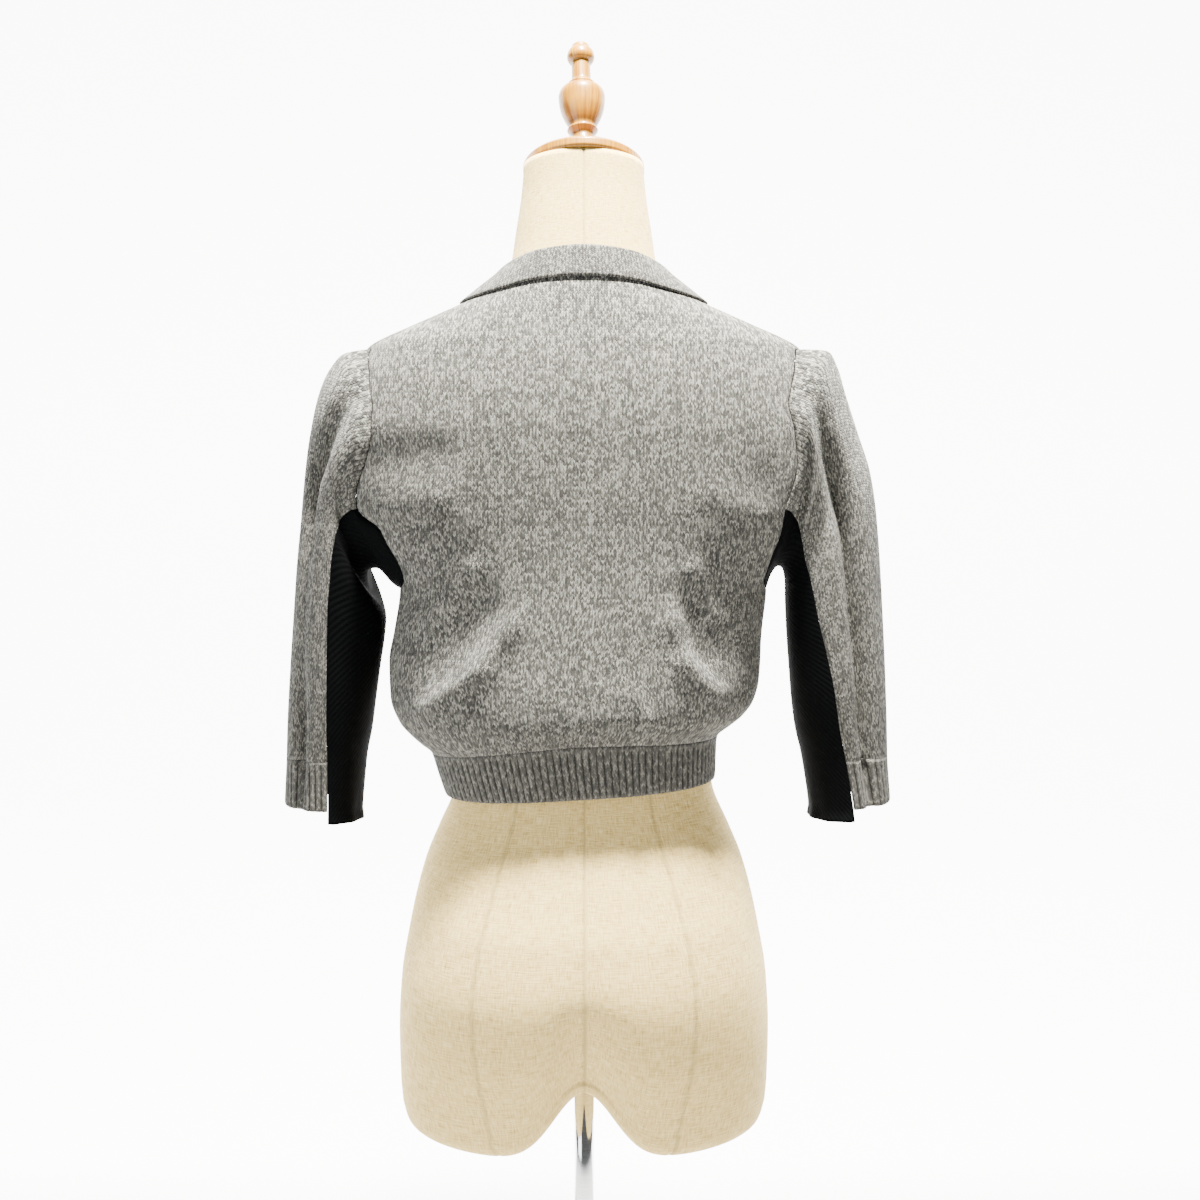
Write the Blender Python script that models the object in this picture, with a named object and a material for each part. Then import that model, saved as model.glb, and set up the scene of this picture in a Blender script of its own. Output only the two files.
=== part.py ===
"""Cropped grey knit jacket on a limbless dress form with a pole and a round foot.

World axes: +Z up, the floor at Z = 0, the jacket's front towards -Y, the wearer's left at +X.
All lengths are in metres and all angles in degrees.

A body angle runs round the Z axis from the centre back (0) through the wearer's left side (90)
to the centre front (180); the right side is negative. A body level is a height at the side of
the body. A sleeve angle runs round the armhole from the outer edge (0) through the back (90) to
the inner edge (180); the front is negative, and the seams between the grey and the black cloth
keep the angles 110 and -110 all the way down. A sleeve row counts from the armhole (0) down to
the black hem (13). Each piece of cloth is a wall whose outer surface follows these coordinates.
"""

import math

import bmesh
import bpy
import numpy as np
from mathutils import Matrix, Vector

# ---------------------------------------------------------------- driving dimensions

WALL = 0.0020                # thickness of the knitted cloth
SEAM_INSET = 0.0002          # each piece stops this far short of its seam line
RIB_DEPTH = 0.0011           # depth of the channels between two ribs
RIB_CHANNEL = 0.12           # half a channel's width, as a share of the rib pitch

HEM_LEVEL = 0.5916           # lower edge of the waist rib
RIB_TOP_LEVEL = 0.6300       # upper edge of the waist rib
UNDERARM_LEVEL = 0.7670      # foot of the armhole
NECK_LEVEL = 1.0360          # neckline at the side of the neck
BACK_RIBS = 58               # ribs in the back half of the waist band
FRONT_RIBS = 29              # ribs in each front quarter
CUFF_RIBS = 22
CUFF_EDGE_INSET = 0.5        # degrees between the cuff's edge and the black cloth's seam
CUFF_ROW_INSET = 0.01        # part of a sleeve row between the cuff and the grey cloth

SHOULDER_SEAM_BEHIND = 0.030  # the shoulder seams lie this far behind the ridge
FRONT_GAP = 0.0025           # half the gap between the two fronts
BREAK_LEVEL = 0.8600         # level where the V neckline begins
V_HALF_WIDTH = 0.0740        # half width of the V neckline at the neck level

SLEEVE_CUFF_ROW = 11
SLEEVE_CUFF_END_ROW = 12
SLEEVE_HEM_ROW = 13
ARMHOLE_FADE_ROWS = 4        # rows over which the armhole's own shape fades out
ARMPIT_TUCK = {"left": 0.0, "right": 0.010}   # depth of the tuck behind the arm
TUCK_ANGLE = 104.0
TUCK_SPREAD = 22.0
TUCK_ROWS = 3.0
LEAST_LEAN = 0.6             # keeps the edge of a wall from growing long at a sharp seam

FORM_BOTTOM = 0.279          # underside of the form's two lobes
NOTCH_RISE = 0.061           # height of the arch between the lobes
NOTCH_WIDTH = 0.036
NOTCH_FADE_LEVEL = 0.460     # the arch has died away at this height
POLE_RADIUS = 0.009
POLE_SOCKET_DEPTH = 0.050
FIT_GAP = 0.0003             # gap between pieces that touch
POLE_HOLE_RADIUS = POLE_RADIUS + 0.0004
BASE_THICKNESS = 0.008
BASE_BOSS_HEIGHT = 0.030

CAP_CENTRE = Vector((0.0, -0.020, 1.141))
CAP_TILT = math.radians(17.0)     # the neck leans forward
FINIAL_LEAN = math.radians(1.3)   # and the finial a little to the wearer's left

ARC_PER_DEGREE = 0.0026      # metres of cloth in one degree round the body

# ---------------------------------------------------------------- short tables

# The outer surface of the jacket's body, from the hem up to the neckline. The blouse hangs a
# little to the wearer's left (sway), and its hem is lower on that side (roll, a slope).
BODY_ROWS = (
    "level half_width back front squareness back_rise front_rise bust sway roll",
    (0.5916, 0.1223, 0.0860, 0.1020, 2.3, 0.002, 0.002, 0.000, 0.0032, 0.060),
    (0.6120, 0.1258, 0.0890, 0.1045, 2.3, 0.006, 0.004, 0.000, 0.0062, 0.060),
    (0.6300, 0.1294, 0.0920, 0.1075, 2.3, 0.010, 0.006, 0.000, 0.0081, 0.060),
    (0.6400, 0.1409, 0.0965, 0.1120, 2.35, 0.009, 0.006, 0.001, 0.0070, 0.060),
    (0.6480, 0.1500, 0.0990, 0.1155, 2.4, 0.008, 0.005, 0.001, 0.0060, 0.060),
    (0.6600, 0.1594, 0.1010, 0.1180, 2.4, 0.006, 0.004, 0.002, 0.0065, 0.060),
    (0.6800, 0.1658, 0.1010, 0.1195, 2.4, 0.004, 0.003, 0.003, 0.0080, 0.050),
    (0.7100, 0.1671, 0.0995, 0.1200, 2.4, 0.002, 0.001, 0.005, 0.0078, 0.030),
    (0.7350, 0.1654, 0.0985, 0.1200, 2.4, 0.000, 0.000, 0.008, 0.0046, 0.012),
    (0.7670, 0.1645, 0.0970, 0.1200, 2.4, 0.000, 0.000, 0.011, 0.0005, 0.000),
    (0.7910, 0.1760, 0.0965, 0.1200, 2.4, 0.000, 0.000, 0.013, 0.0000, 0.000),
    (0.8230, 0.2040, 0.0965, 0.1190, 2.4, 0.000, 0.000, 0.014, 0.0000, 0.000),
    (0.8400, 0.2180, 0.0970, 0.1170, 2.4, 0.000, 0.000, 0.013, 0.0000, 0.000),
    (0.8760, 0.2260, 0.0975, 0.1120, 2.4, 0.000, 0.000, 0.009, 0.0000, 0.000),
    (0.9050, 0.2260, 0.0975, 0.1065, 2.4, 0.000, 0.000, 0.005, 0.0000, 0.000),
    (0.9400, 0.2160, 0.0950, 0.1000, 2.4, 0.000, 0.000, 0.002, 0.0000, 0.000),
    (0.9660, 0.2040, 0.0905, 0.0930, 2.4, 0.000, 0.000, 0.000, 0.0000, 0.000),
    (0.9810, 0.1940, 0.0870, 0.0875, 2.4, 0.000, 0.000, 0.000, 0.0000, 0.000),
    (0.9850, 0.1900, 0.0862, 0.0860, 2.4, 0.000, 0.000, 0.000, 0.0000, 0.000),
    (0.9920, 0.1770, 0.0835, 0.0825, 2.4, 0.001, 0.000, 0.000, 0.0000, 0.000),
    (1.0020, 0.1540, 0.0805, 0.0775, 2.4, 0.002, 0.000, 0.000, 0.0000, 0.000),
    (1.0120, 0.1310, 0.0770, 0.0730, 2.4, 0.004, 0.000, 0.000, 0.0000, 0.000),
    (1.0220, 0.1080, 0.0730, 0.0685, 2.4, 0.006, 0.000, 0.000, 0.0000, 0.000),
    (1.0300, 0.0920, 0.0690, 0.0645, 2.4, 0.008, 0.000, 0.000, 0.0000, 0.000),
    (1.0360, 0.0790, 0.0650, 0.0610, 2.4, 0.009, 0.000, 0.000, 0.0000, 0.000),
)

# The dress form, from the lobes up to the neck. The tilt is the slope of a ring, front to back.
FORM_ROWS = (
    "level half_width back front squareness tilt bust",
    (0.3060, 0.1650, 0.1050, 0.0870, 2.3, 0.00, 0.000),
    (0.3250, 0.1665, 0.1080, 0.0900, 2.3, 0.00, 0.000),
    (0.3730, 0.1674, 0.1165, 0.0970, 2.3, 0.00, 0.000),
    (0.4200, 0.1650, 0.1180, 0.1000, 2.3, 0.00, 0.000),
    (0.4690, 0.1570, 0.1110, 0.0980, 2.3, 0.00, 0.000),
    (0.5010, 0.1500, 0.1010, 0.0950, 2.3, 0.00, 0.000),
    (0.5300, 0.1415, 0.0900, 0.0920, 2.3, 0.00, 0.000),
    (0.5530, 0.1318, 0.0800, 0.0890, 2.3, 0.00, 0.000),
    (0.5916, 0.1160, 0.0700, 0.0860, 2.3, 0.00, 0.000),
    (0.6250, 0.1120, 0.0670, 0.0840, 2.3, 0.00, 0.000),
    (0.6800, 0.1170, 0.0710, 0.0890, 2.3, 0.00, 0.002),
    (0.7400, 0.1300, 0.0790, 0.0980, 2.3, 0.00, 0.005),
    (0.7900, 0.1420, 0.0850, 0.1080, 2.3, 0.00, 0.010),
    (0.8300, 0.1500, 0.0885, 0.1140, 2.3, 0.00, 0.013),
    (0.8600, 0.1520, 0.0910, 0.1110, 2.3, 0.00, 0.010),
    (0.9000, 0.1580, 0.0935, 0.1030, 2.3, 0.00, 0.005),
    (0.9300, 0.1680, 0.0920, 0.0970, 2.3, 0.00, 0.002),
    (0.9550, 0.1780, 0.0885, 0.0905, 2.3, 0.00, 0.000),
    (0.9720, 0.1820, 0.0850, 0.0850, 2.3, 0.00, 0.000),
    (0.9820, 0.1800, 0.0825, 0.0815, 2.4, 0.00, 0.000),
    (0.9890, 0.1735, 0.0795, 0.0780, 2.4, 0.00, 0.000),
    (0.9990, 0.1520, 0.0760, 0.0730, 2.4, 0.00, 0.000),
    (1.0090, 0.1290, 0.0725, 0.0685, 2.4, 0.00, 0.000),
    (1.0190, 0.1060, 0.0685, 0.0640, 2.4, 0.00, 0.000),
    (1.0270, 0.0895, 0.0640, 0.0600, 2.4, 0.00, 0.000),
    (1.0330, 0.0765, 0.0595, 0.0570, 2.3, 0.02, 0.000),
    (1.0450, 0.0685, 0.0535, 0.0550, 2.2, 0.08, 0.000),
    (1.0600, 0.0645, 0.0480, 0.0565, 2.1, 0.15, 0.000),
    (1.0850, 0.0605, 0.0410, 0.0600, 2.0, 0.25, 0.000),
    (1.1120, 0.0560, 0.0345, 0.0640, 2.0, 0.30, 0.000),
    (1.1405, 0.0530, 0.0300, 0.0700, 2.0, 0.306, 0.000),
)

# The rounding under the form: the share of the lowest ring's size, and the height.
FORM_FOOT_ROWS = ((0.975, 0.2920), (0.92, 0.2835), (0.80, 0.2795), (0.50, FORM_BOTTOM))

# Armholes: for each sleeve angle, the level and how far out from the centre the seam runs.
# WIDE stands for the very side of the body.
WIDE = 1.0
ARMHOLE_ROWS = (
    (-180, 0.7670, WIDE, WIDE),
    (-173, 0.7712, 0.1615, 0.1615),
    (-166, 0.7775, 0.1590, 0.1590),
    (-152, 0.7900, 0.1665, 0.1665),
    (-138, 0.8040, 0.1735, 0.1735),
    (-124, 0.8210, 0.1810, 0.1810),
    (-110, 0.8400, 0.1870, 0.1870),
    (-96, 0.8620, 0.1860, 0.1860),
    (-82, 0.8850, 0.1830, 0.1830),
    (-68, 0.9080, 0.1810, 0.1810),
    (-54, 0.9300, 0.1810, 0.1810),
    (-40, 0.9500, 0.1835, 0.1835),
    (-26, 0.9660, 0.1875, 0.1875),
    (-13, 0.9750, 0.1930, 0.1930),
    (0, 0.9790, WIDE, WIDE),
    (13, 0.9810, 0.1868, 0.1868),
    (28, 0.9730, 0.1880, 0.1840),
    (42, 0.9600, 0.1858, 0.1820),
    (56, 0.9440, 0.1842, 0.1780),
    (70, 0.9260, 0.1812, 0.1758),
    (84, 0.9050, 0.1822, 0.1808),
    (97, 0.8760, 0.1918, 0.1835),
    (110, 0.8407, 0.1960, 0.1735),
    (124, 0.8230, 0.1760, 0.1705),
    (138, 0.8060, 0.1680, 0.1655),
    (152, 0.7910, 0.1605, 0.1615),
    (166, 0.7775, 0.1575, 0.1585),
    (173, 0.7712, 0.1615, 0.1615),
    (180, 0.7670, WIDE, WIDE),
)
SHOULDER_SEAM_ANGLE = 13     # sleeve angle that meets the shoulder seam
GREY_EDGE_ANGLE = 110        # sleeve angle where the grey top sleeve ends at the armhole

SLEEVE_COLUMNS = ("row outer_x outer_z inner_x inner_z centre_y half_depth "
                  "grey_back grey_front crease_angle crease_depth")
SLEEVE_ROWS = {
    "left": (
        SLEEVE_COLUMNS,
        (0, 0.1950, 0.9790, 0.1720, 0.7700, -0.004, 0.048, 110, 110, 56, 0.00),
        (1, 0.2130, 0.9775, 0.1780, 0.7750, -0.003, 0.052, 112, 108, 56, 0.06),
        (2, 0.2265, 0.9645, 0.1900, 0.7870, -0.002, 0.054, 118, 104, 56, 0.14),
        (3, 0.2365, 0.9420, 0.1965, 0.7850, -0.001, 0.055, 117, 100, 56, 0.22),
        (4, 0.2449, 0.9050, 0.1931, 0.7680, 0.000, 0.055, 103, 97, 56, 0.26),
        (5, 0.2498, 0.8680, 0.1822, 0.7530, 0.001, 0.054, 90, 95, 57, 0.24),
        (6, 0.2533, 0.8300, 0.1789, 0.7400, 0.002, 0.052, 85, 94, 59, 0.14),
        (7, 0.2570, 0.7950, 0.1805, 0.7220, 0.002, 0.050, 85, 93, 62, 0.06),
        (8, 0.2610, 0.7450, 0.1840, 0.7000, 0.001, 0.048, 88, 92, 65, 0.04),
        (9, 0.2645, 0.7000, 0.1880, 0.6720, 0.000, 0.046, 92, 91, 64, 0.08),
        (10, 0.2680, 0.6500, 0.1925, 0.6400, -0.002, 0.043, 96, 91, 62, 0.18),
        (11, 0.2695, 0.6170, 0.1970, 0.6170, -0.003, 0.040, 101, 90, 60, 0.16),
        (12, 0.2720, 0.5735, 0.2015, 0.5705, -0.004, 0.038, 106, 90, 58, 0.08),
        (13, 0.2725, 0.5600, 0.2025, 0.5570, -0.004, 0.038, 107, 90, 57, 0.06),
    ),
    "right": (
        SLEEVE_COLUMNS,
        (0, 0.1950, 0.9790, 0.1720, 0.7700, -0.004, 0.048, 110, 110, 56, 0.00),
        (1, 0.2176, 0.9805, 0.1735, 0.7790, -0.003, 0.052, 116, 108, 56, 0.05),
        (2, 0.2265, 0.9680, 0.1790, 0.7880, -0.002, 0.054, 124, 104, 56, 0.12),
        (3, 0.2340, 0.9450, 0.1820, 0.7860, -0.001, 0.055, 130, 100, 57, 0.20),
        (4, 0.2455, 0.9100, 0.1825, 0.7740, 0.000, 0.055, 131, 98, 58, 0.25),
        (5, 0.2570, 0.8740, 0.1825, 0.7580, 0.001, 0.054, 127, 97, 60, 0.26),
        (6, 0.2622, 0.8420, 0.1830, 0.7400, 0.002, 0.052, 123, 97, 62, 0.26),
        (7, 0.2657, 0.8050, 0.1840, 0.7220, 0.002, 0.050, 119, 98, 64, 0.26),
        (8, 0.2692, 0.7550, 0.1860, 0.6970, 0.001, 0.048, 112, 99, 67, 0.26),
        (9, 0.2722, 0.7050, 0.1885, 0.6680, 0.000, 0.046, 105, 100, 70, 0.25),
        (10, 0.2750, 0.6500, 0.1925, 0.6400, -0.002, 0.043, 101, 102, 73, 0.24),
        (11, 0.2762, 0.6170, 0.1980, 0.6170, -0.003, 0.040, 98, 102, 75, 0.20),
        (12, 0.2795, 0.5750, 0.2055, 0.5705, -0.004, 0.038, 94, 103, 77, 0.14),
        (13, 0.2800, 0.5615, 0.2065, 0.5580, -0.004, 0.038, 93, 103, 78, 0.12),
    ),
}
CREASE_WIDTH = 17.0          # degrees from a sleeve crease's middle to its shoulder

# Folds of the body: a ridge (or a trough, with a negative height) between two places.
FOLD_ROWS = (
    "angle_a level_a angle_b level_b width height",
    (61, 0.674, 40, 0.707, 0.011, 0.0050),      # back, left: ridge from the waist up
    (40, 0.707, 29, 0.749, 0.012, 0.0045),
    (29, 0.749, 33, 0.776, 0.010, 0.0025),
    (56, 0.720, 46, 0.752, 0.022, -0.0065),     # pocket outside it
    (61, 0.745, 47, 0.790, 0.008, 0.0035),
    (-57, 0.676, -46, 0.707, 0.011, 0.0050),    # back, right
    (-46, 0.707, -39, 0.749, 0.012, 0.0040),
    (-39, 0.749, -35, 0.788, 0.010, 0.0025),
    (-53, 0.722, -49, 0.756, 0.021, -0.0060),
    (-57, 0.748, -46, 0.789, 0.008, 0.0030),
    (73, 0.884, 50, 0.893, 0.012, -0.0045),     # drag lines at the armholes
    (64, 0.845, 57, 0.851, 0.011, 0.0040),
    (-64, 0.846, -63, 0.872, 0.009, -0.0040),
    (-60, 0.845, -52, 0.858, 0.010, -0.0030),
    (150, 0.790, 154, 0.680, 0.014, 0.0035),    # fronts: soft drapes below the bust
    (132, 0.780, 140, 0.672, 0.014, -0.0045),
    (-149, 0.795, -152, 0.685, 0.014, 0.0030),
    (-130, 0.775, -139, 0.676, 0.015, -0.0050),
    (112, 0.842, 126, 0.862, 0.010, 0.0030),
    (-113, 0.838, -128, 0.856, 0.010, 0.0035),
)

# The collar behind the neck and over the shoulders. The fall is the free outer edge.
COLLAR_BACK_ROWS = (
    "angle fall_angle fall_level stand lift",
    (0, 0, 1.0306, 0.0189, 0.0045),
    (18, 18, 1.0306, 0.0185, 0.0044),
    (36, 35, 1.0298, 0.0180, 0.0040),
    (54, 53, 1.0260, 0.0143, 0.0036),
    (72, 70, 1.0225, 0.0098, 0.0033),
    (90, 88, 1.0212, 0.0085, 0.0032),
    (104, 99, 1.0212, 0.0080, 0.0033),
)
# The collar down the V neckline, by the level of the front's edge.
COLLAR_FRONT_ROWS = (
    "level fall_angle fall_level stand lift",
    (0.8760, 171.7, 0.8730, 0.0000, 0.0026),
    (0.8960, 161.1, 0.8877, 0.0000, 0.0026),
    (0.9180, 152.4, 0.9063, 0.0000, 0.0027),
    (0.9420, 145.8, 0.9290, 0.0000, 0.0028),
    (0.9650, 140.3, 0.9518, 0.0000, 0.0029),
    (0.9850, 135.1, 0.9718, 0.0010, 0.0030),
    (1.0030, 129.5, 0.9901, 0.0030, 0.0031),
    (1.0170, 122.5, 1.0050, 0.0050, 0.0032),
    (1.0280, 113.0, 1.0165, 0.0066, 0.0033),
    (1.0360, 104.0, 1.0205, 0.0078, 0.0033),
)

# Turned profiles: distance along the axis and radius.
CAP_PROFILE = ((0.0000, 0.0500), (0.0004, 0.0530), (0.0030, 0.0550), (0.0075, 0.0550),
               (0.0100, 0.0535), (0.0160, 0.0430), (0.0205, 0.0300), (0.0230, 0.0170))
FINIAL_PROFILE = ((0.0237, 0.0150), (0.0265, 0.0160), (0.0300, 0.0135), (0.0400, 0.0105),
                  (0.0440, 0.0125), (0.0465, 0.0142), (0.0490, 0.0125), (0.0510, 0.0130),
                  (0.0600, 0.0175), (0.0700, 0.0205), (0.0800, 0.0215), (0.0860, 0.0200),
                  (0.0890, 0.0165), (0.0905, 0.0125), (0.0935, 0.0130), (0.0960, 0.0100),
                  (0.0990, 0.0088), (0.1160, 0.0086), (0.1185, 0.0115), (0.1225, 0.0128),
                  (0.1275, 0.0118), (0.1310, 0.0090), (0.1345, 0.0078), (0.1360, 0.0050))
BASE_PROFILE = ((0.0, 0.150), (0.004, 0.150), (0.008, 0.145), (0.0115, 0.060),
                (0.0150, 0.030), (0.0260, 0.0185), (0.0300, 0.0165))

# Places of the columns between a panel's two edges, closest where its folds lie.
BACK_COLUMNS = (0, 0.05, 0.10, 0.15, 0.19, 0.225, 0.26, 0.295, 0.335, 0.39, 0.445, 0.5,
                0.555, 0.61, 0.665, 0.705, 0.74, 0.775, 0.81, 0.85, 0.90, 0.95, 1)
FRONT_COLUMNS = (0, 0.12, 0.24, 0.36, 0.48, 0.60, 0.72, 0.86, 1)
EDGE_REACH = 0.018           # height over which the turns of a panel's edge even out
FORM_COLUMNS = 36
TURNED_SIDES = 20


# ---------------------------------------------------------------- reading the tables

def monotone_slopes(x, y):
    """Slopes of a smooth curve through the points that never swings past them."""
    steps = np.diff(y) / np.diff(x)
    slopes = np.concatenate(([steps[0]], np.zeros(len(y) - 2), [steps[-1]]))
    for i in range(1, len(y) - 1):
        before, after = steps[i - 1], steps[i]
        if before * after > 0:
            slopes[i] = 2 * before * after / (before + after)
    return slopes


class Table:
    """Rows with named columns, read as smooth curves along the first column."""

    def __init__(self, columns, *rows):
        data = np.array(rows, dtype=float)
        self.x = data[:, 0]
        self.curves = {}
        for i, name in enumerate(columns.split()[1:], start=1):
            self.curves[name] = (data[:, i], monotone_slopes(self.x, data[:, i]))

    def read(self, name, x):
        y, slopes = self.curves[name]
        x = np.clip(x, self.x[0], self.x[-1])
        i = np.clip(np.searchsorted(self.x, x, side="right") - 1, 0, len(self.x) - 2)
        span = self.x[i + 1] - self.x[i]
        t = (x - self.x[i]) / span
        rise = y[i + 1] - y[i]
        bend_a = slopes[i] * span - rise
        bend_b = rise - slopes[i + 1] * span
        return y[i] + t * rise + t * (1 - t) * ((1 - t) * bend_a + t * bend_b)


BODY = Table(*BODY_ROWS)
FORM = Table(*FORM_ROWS)
COLLAR_BACK = Table(*COLLAR_BACK_ROWS)
COLLAR_FRONT = Table(*COLLAR_FRONT_ROWS)
SLEEVES = {side: Table(*rows) for side, rows in SLEEVE_ROWS.items()}
SIDES = {"left": 1, "right": -1}


# ---------------------------------------------------------------- the body's surface

BUST_ANGLE = 147.0
BUST_SPREAD = 20.0


def ring(table, angle, level):
    """The plan view of a ring of the body: how far out and how far back each point lies."""
    turn = np.radians(angle)
    out, back = np.sin(turn), np.cos(turn)
    width = table.read("half_width", level)
    depth = np.where(back > 0, table.read("back", level), table.read("front", level))
    power = table.read("squareness", level)
    reach = (np.abs(out / width) ** power + np.abs(back / depth) ** power) ** (-1 / power)
    bust = np.exp(-((np.abs(angle) - BUST_ANGLE) / BUST_SPREAD) ** 2)
    reach = reach + table.read("bust", level) * bust
    return reach * out, reach * back


def folds(angle, level):
    """Height of the cloth's folds above the smooth body."""
    height = np.zeros(np.broadcast(angle, level).shape)
    for angle_a, level_a, angle_b, level_b, width, size in FOLD_ROWS[1:]:
        start = np.array((angle_a * ARC_PER_DEGREE, level_a))
        run = np.array((angle_b * ARC_PER_DEGREE, level_b)) - start
        across = angle * ARC_PER_DEGREE - start[0]
        up = level - start[1]
        along = np.clip((across * run[0] + up * run[1]) / (run @ run), 0, 1)
        apart = np.hypot(across - along * run[0], up - along * run[1])
        height = height + size * np.exp(-(apart / width) ** 2)
    return height


def body_point(angle, level):
    """A point of the jacket's outer surface."""
    angle, level = np.broadcast_arrays(np.asarray(angle, float), np.asarray(level, float))
    out, back = ring(BODY, angle, level)
    turn = np.radians(angle)
    swell = folds(angle, level)
    rise = np.where(np.cos(turn) > 0, BODY.read("back_rise", level),
                    BODY.read("front_rise", level)) * np.cos(turn) ** 2
    out = out + swell * np.sin(turn) + BODY.read("sway", level)
    up = level + rise - BODY.read("roll", level) * out
    return np.stack((out, back + swell * np.cos(turn), up), axis=-1)


def form_point(angle, level):
    """A point of the dress form's surface, with the arch between the lobes."""
    angle, level = np.broadcast_arrays(np.asarray(angle, float), np.asarray(level, float))
    out, back = ring(FORM, angle, level)
    middle = (FORM.read("back", level) - FORM.read("front", level)) / 2
    up = level + FORM.read("tilt", level) * (back - middle)
    return np.stack((out, back, notched(out, up)), axis=-1)


def notched(out, up):
    """Heights lifted over the arch that runs from front to back under the form."""
    fade = np.clip((NOTCH_FADE_LEVEL - up) / (NOTCH_FADE_LEVEL - FORM_BOTTOM), 0, 1) ** 1.5
    return up + NOTCH_RISE * fade * np.exp(-(out / NOTCH_WIDTH) ** 2)


def unit(vectors):
    return vectors / np.linalg.norm(vectors, axis=-1, keepdims=True)


def surface_normals(surface, first, second, step_first, step_second):
    """Outward normals of a surface, from two short steps along its coordinates."""
    along_first = surface(first + step_first, second) - surface(first - step_first, second)
    along_second = surface(first, second + step_second) - surface(first, second - step_second)
    return unit(np.cross(along_second, along_first))


def body_normal(angle, level):
    level = np.clip(level, HEM_LEVEL + 0.001, NECK_LEVEL - 0.001)
    return surface_normals(body_point, np.asarray(angle, float), level, 0.5, 0.001)


def level_normal(angle, level):
    """The thickness direction at an edge that is cut level: flat, and as much longer."""
    normal = body_normal(angle, level)
    flat = unit(normal * (1, 1, 0))
    return flat / np.sum(flat * normal, axis=-1, keepdims=True)


def angle_at(out, level, front):
    """The body angle of the point that lies this far out from the centre."""
    width = BODY.read("half_width", level)
    depth = BODY.read("front" if front else "back", level)
    power = BODY.read("squareness", level)
    share = np.minimum(1.0, out / width)
    away = depth * (1 - share ** power) ** (1 / power)
    angle = np.degrees(np.arctan2(share * width, away))
    return 180 - angle if front else angle


def shoulder_seam_angle(level):
    """The shoulder seam runs parallel to the shoulder's ridge, a little behind it."""
    depth = BODY.read("back", level)
    power = BODY.read("squareness", level)
    out = BODY.read("half_width", level) * (
        1 - (SHOULDER_SEAM_BEHIND / depth) ** power) ** (1 / power)
    return np.degrees(np.arctan2(out, SHOULDER_SEAM_BEHIND))


def armhole_table(column):
    """The armhole as a curve of body angles and levels, along the sleeve angle."""
    rows = []
    for row in ARMHOLE_ROWS:
        sleeve_angle, level, out = row[0], row[1], row[column]
        if sleeve_angle == SHOULDER_SEAM_ANGLE:
            body_angle = shoulder_seam_angle(level)
        else:
            body_angle = angle_at(out, level, front=sleeve_angle < 0)
        rows.append((sleeve_angle, level, body_angle))
    return Table("sleeve_angle level body_angle", *rows)


ARMHOLES = {"left": armhole_table(2), "right": armhole_table(3)}


# ---------------------------------------------------------------- the sleeves' surface
# Both sleeves are worked out on the +X side; the right one is mirrored when it is built.

def armhole_point(side, sleeve_angle):
    table = ARMHOLES[side]
    body_angle = table.read("body_angle", sleeve_angle)
    level = table.read("level", sleeve_angle)
    return body_point(SIDES[side] * body_angle, level) * (SIDES[side], 1, 1)


def ellipse_angle(side, sleeve_angle, row):
    """Turns a sleeve angle, which keeps to the seams, into the angle on the row's ellipse."""
    table = SLEEVES[side]
    back, front = table.read("grey_back", row), table.read("grey_front", row)
    top_share = (sleeve_angle + GREY_EDGE_ANGLE) / (2 * GREY_EDGE_ANGLE)
    under_share = (sleeve_angle - GREY_EDGE_ANGLE) / (360 - 2 * GREY_EDGE_ANGLE)
    return np.where(sleeve_angle <= GREY_EDGE_ANGLE, -front + (back + front) * top_share,
                    back + (360 - back - front) * under_share)


def sleeve_ellipse(side, sleeve_angle, row):
    table = SLEEVES[side]
    turn = np.radians(ellipse_angle(side, sleeve_angle, row))
    outer = np.stack((table.read("outer_x", row), table.read("outer_z", row)), axis=-1)
    inner = np.stack((table.read("inner_x", row), table.read("inner_z", row)), axis=-1)
    middle, half = (outer + inner) / 2, (outer - inner) / 2
    crease = np.exp(-((sleeve_angle - table.read("crease_angle", row)) / CREASE_WIDTH) ** 2)
    size = 1 - table.read("crease_depth", row) * crease
    flat = middle + half * (np.cos(turn) * size)[..., None]
    deep = table.read("centre_y", row) + table.read("half_depth", row) * np.sin(turn) * size
    return np.stack((flat[..., 0], deep, flat[..., 1]), axis=-1)


def sleeve_point(side, sleeve_angle, row):
    """A point of a sleeve's outer surface; near the armhole it takes the armhole's shape."""
    sleeve_angle, row = np.broadcast_arrays(np.asarray(sleeve_angle, float),
                                            np.asarray(row, float))
    from_seam = (sleeve_angle + GREY_EDGE_ANGLE) % 360 - GREY_EDGE_ANGLE
    wrapped = (sleeve_angle + 180) % 360 - 180
    start = armhole_point(side, wrapped) - sleeve_ellipse(side, from_seam, 0 * row)
    fade = np.clip(1 - row / ARMHOLE_FADE_ROWS, 0, 1)[..., None]
    point = sleeve_ellipse(side, from_seam, row) + start * fade
    tuck = ARMPIT_TUCK[side] * np.exp(-((from_seam - TUCK_ANGLE) / TUCK_SPREAD) ** 2)
    point[..., 1] -= tuck * np.sin(np.pi * np.clip(row / TUCK_ROWS, 0, 1)) ** 2
    return point


def sleeve_normal(side, sleeve_angle, row):
    def surface(angle, at_row):
        return sleeve_point(side, angle, at_row)
    row = np.clip(row, 0.05, SLEEVE_HEM_ROW - 0.05)
    return surface_normals(surface, np.asarray(sleeve_angle, float), row, 1.0, 0.05)


def bend_direction(before, here, after):
    """The direction of a broken line at one of its points."""
    return unit(unit(here - before) + unit(after - here))


ARMHOLE_ANGLES = np.array([row[0] for row in ARMHOLE_ROWS], float)
SLEEVE_ROW_PLACES = (0, 1, 2, 3, 4, 5, 6, 7, 8, 9, 10, 11, 12, 12.8)


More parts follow.
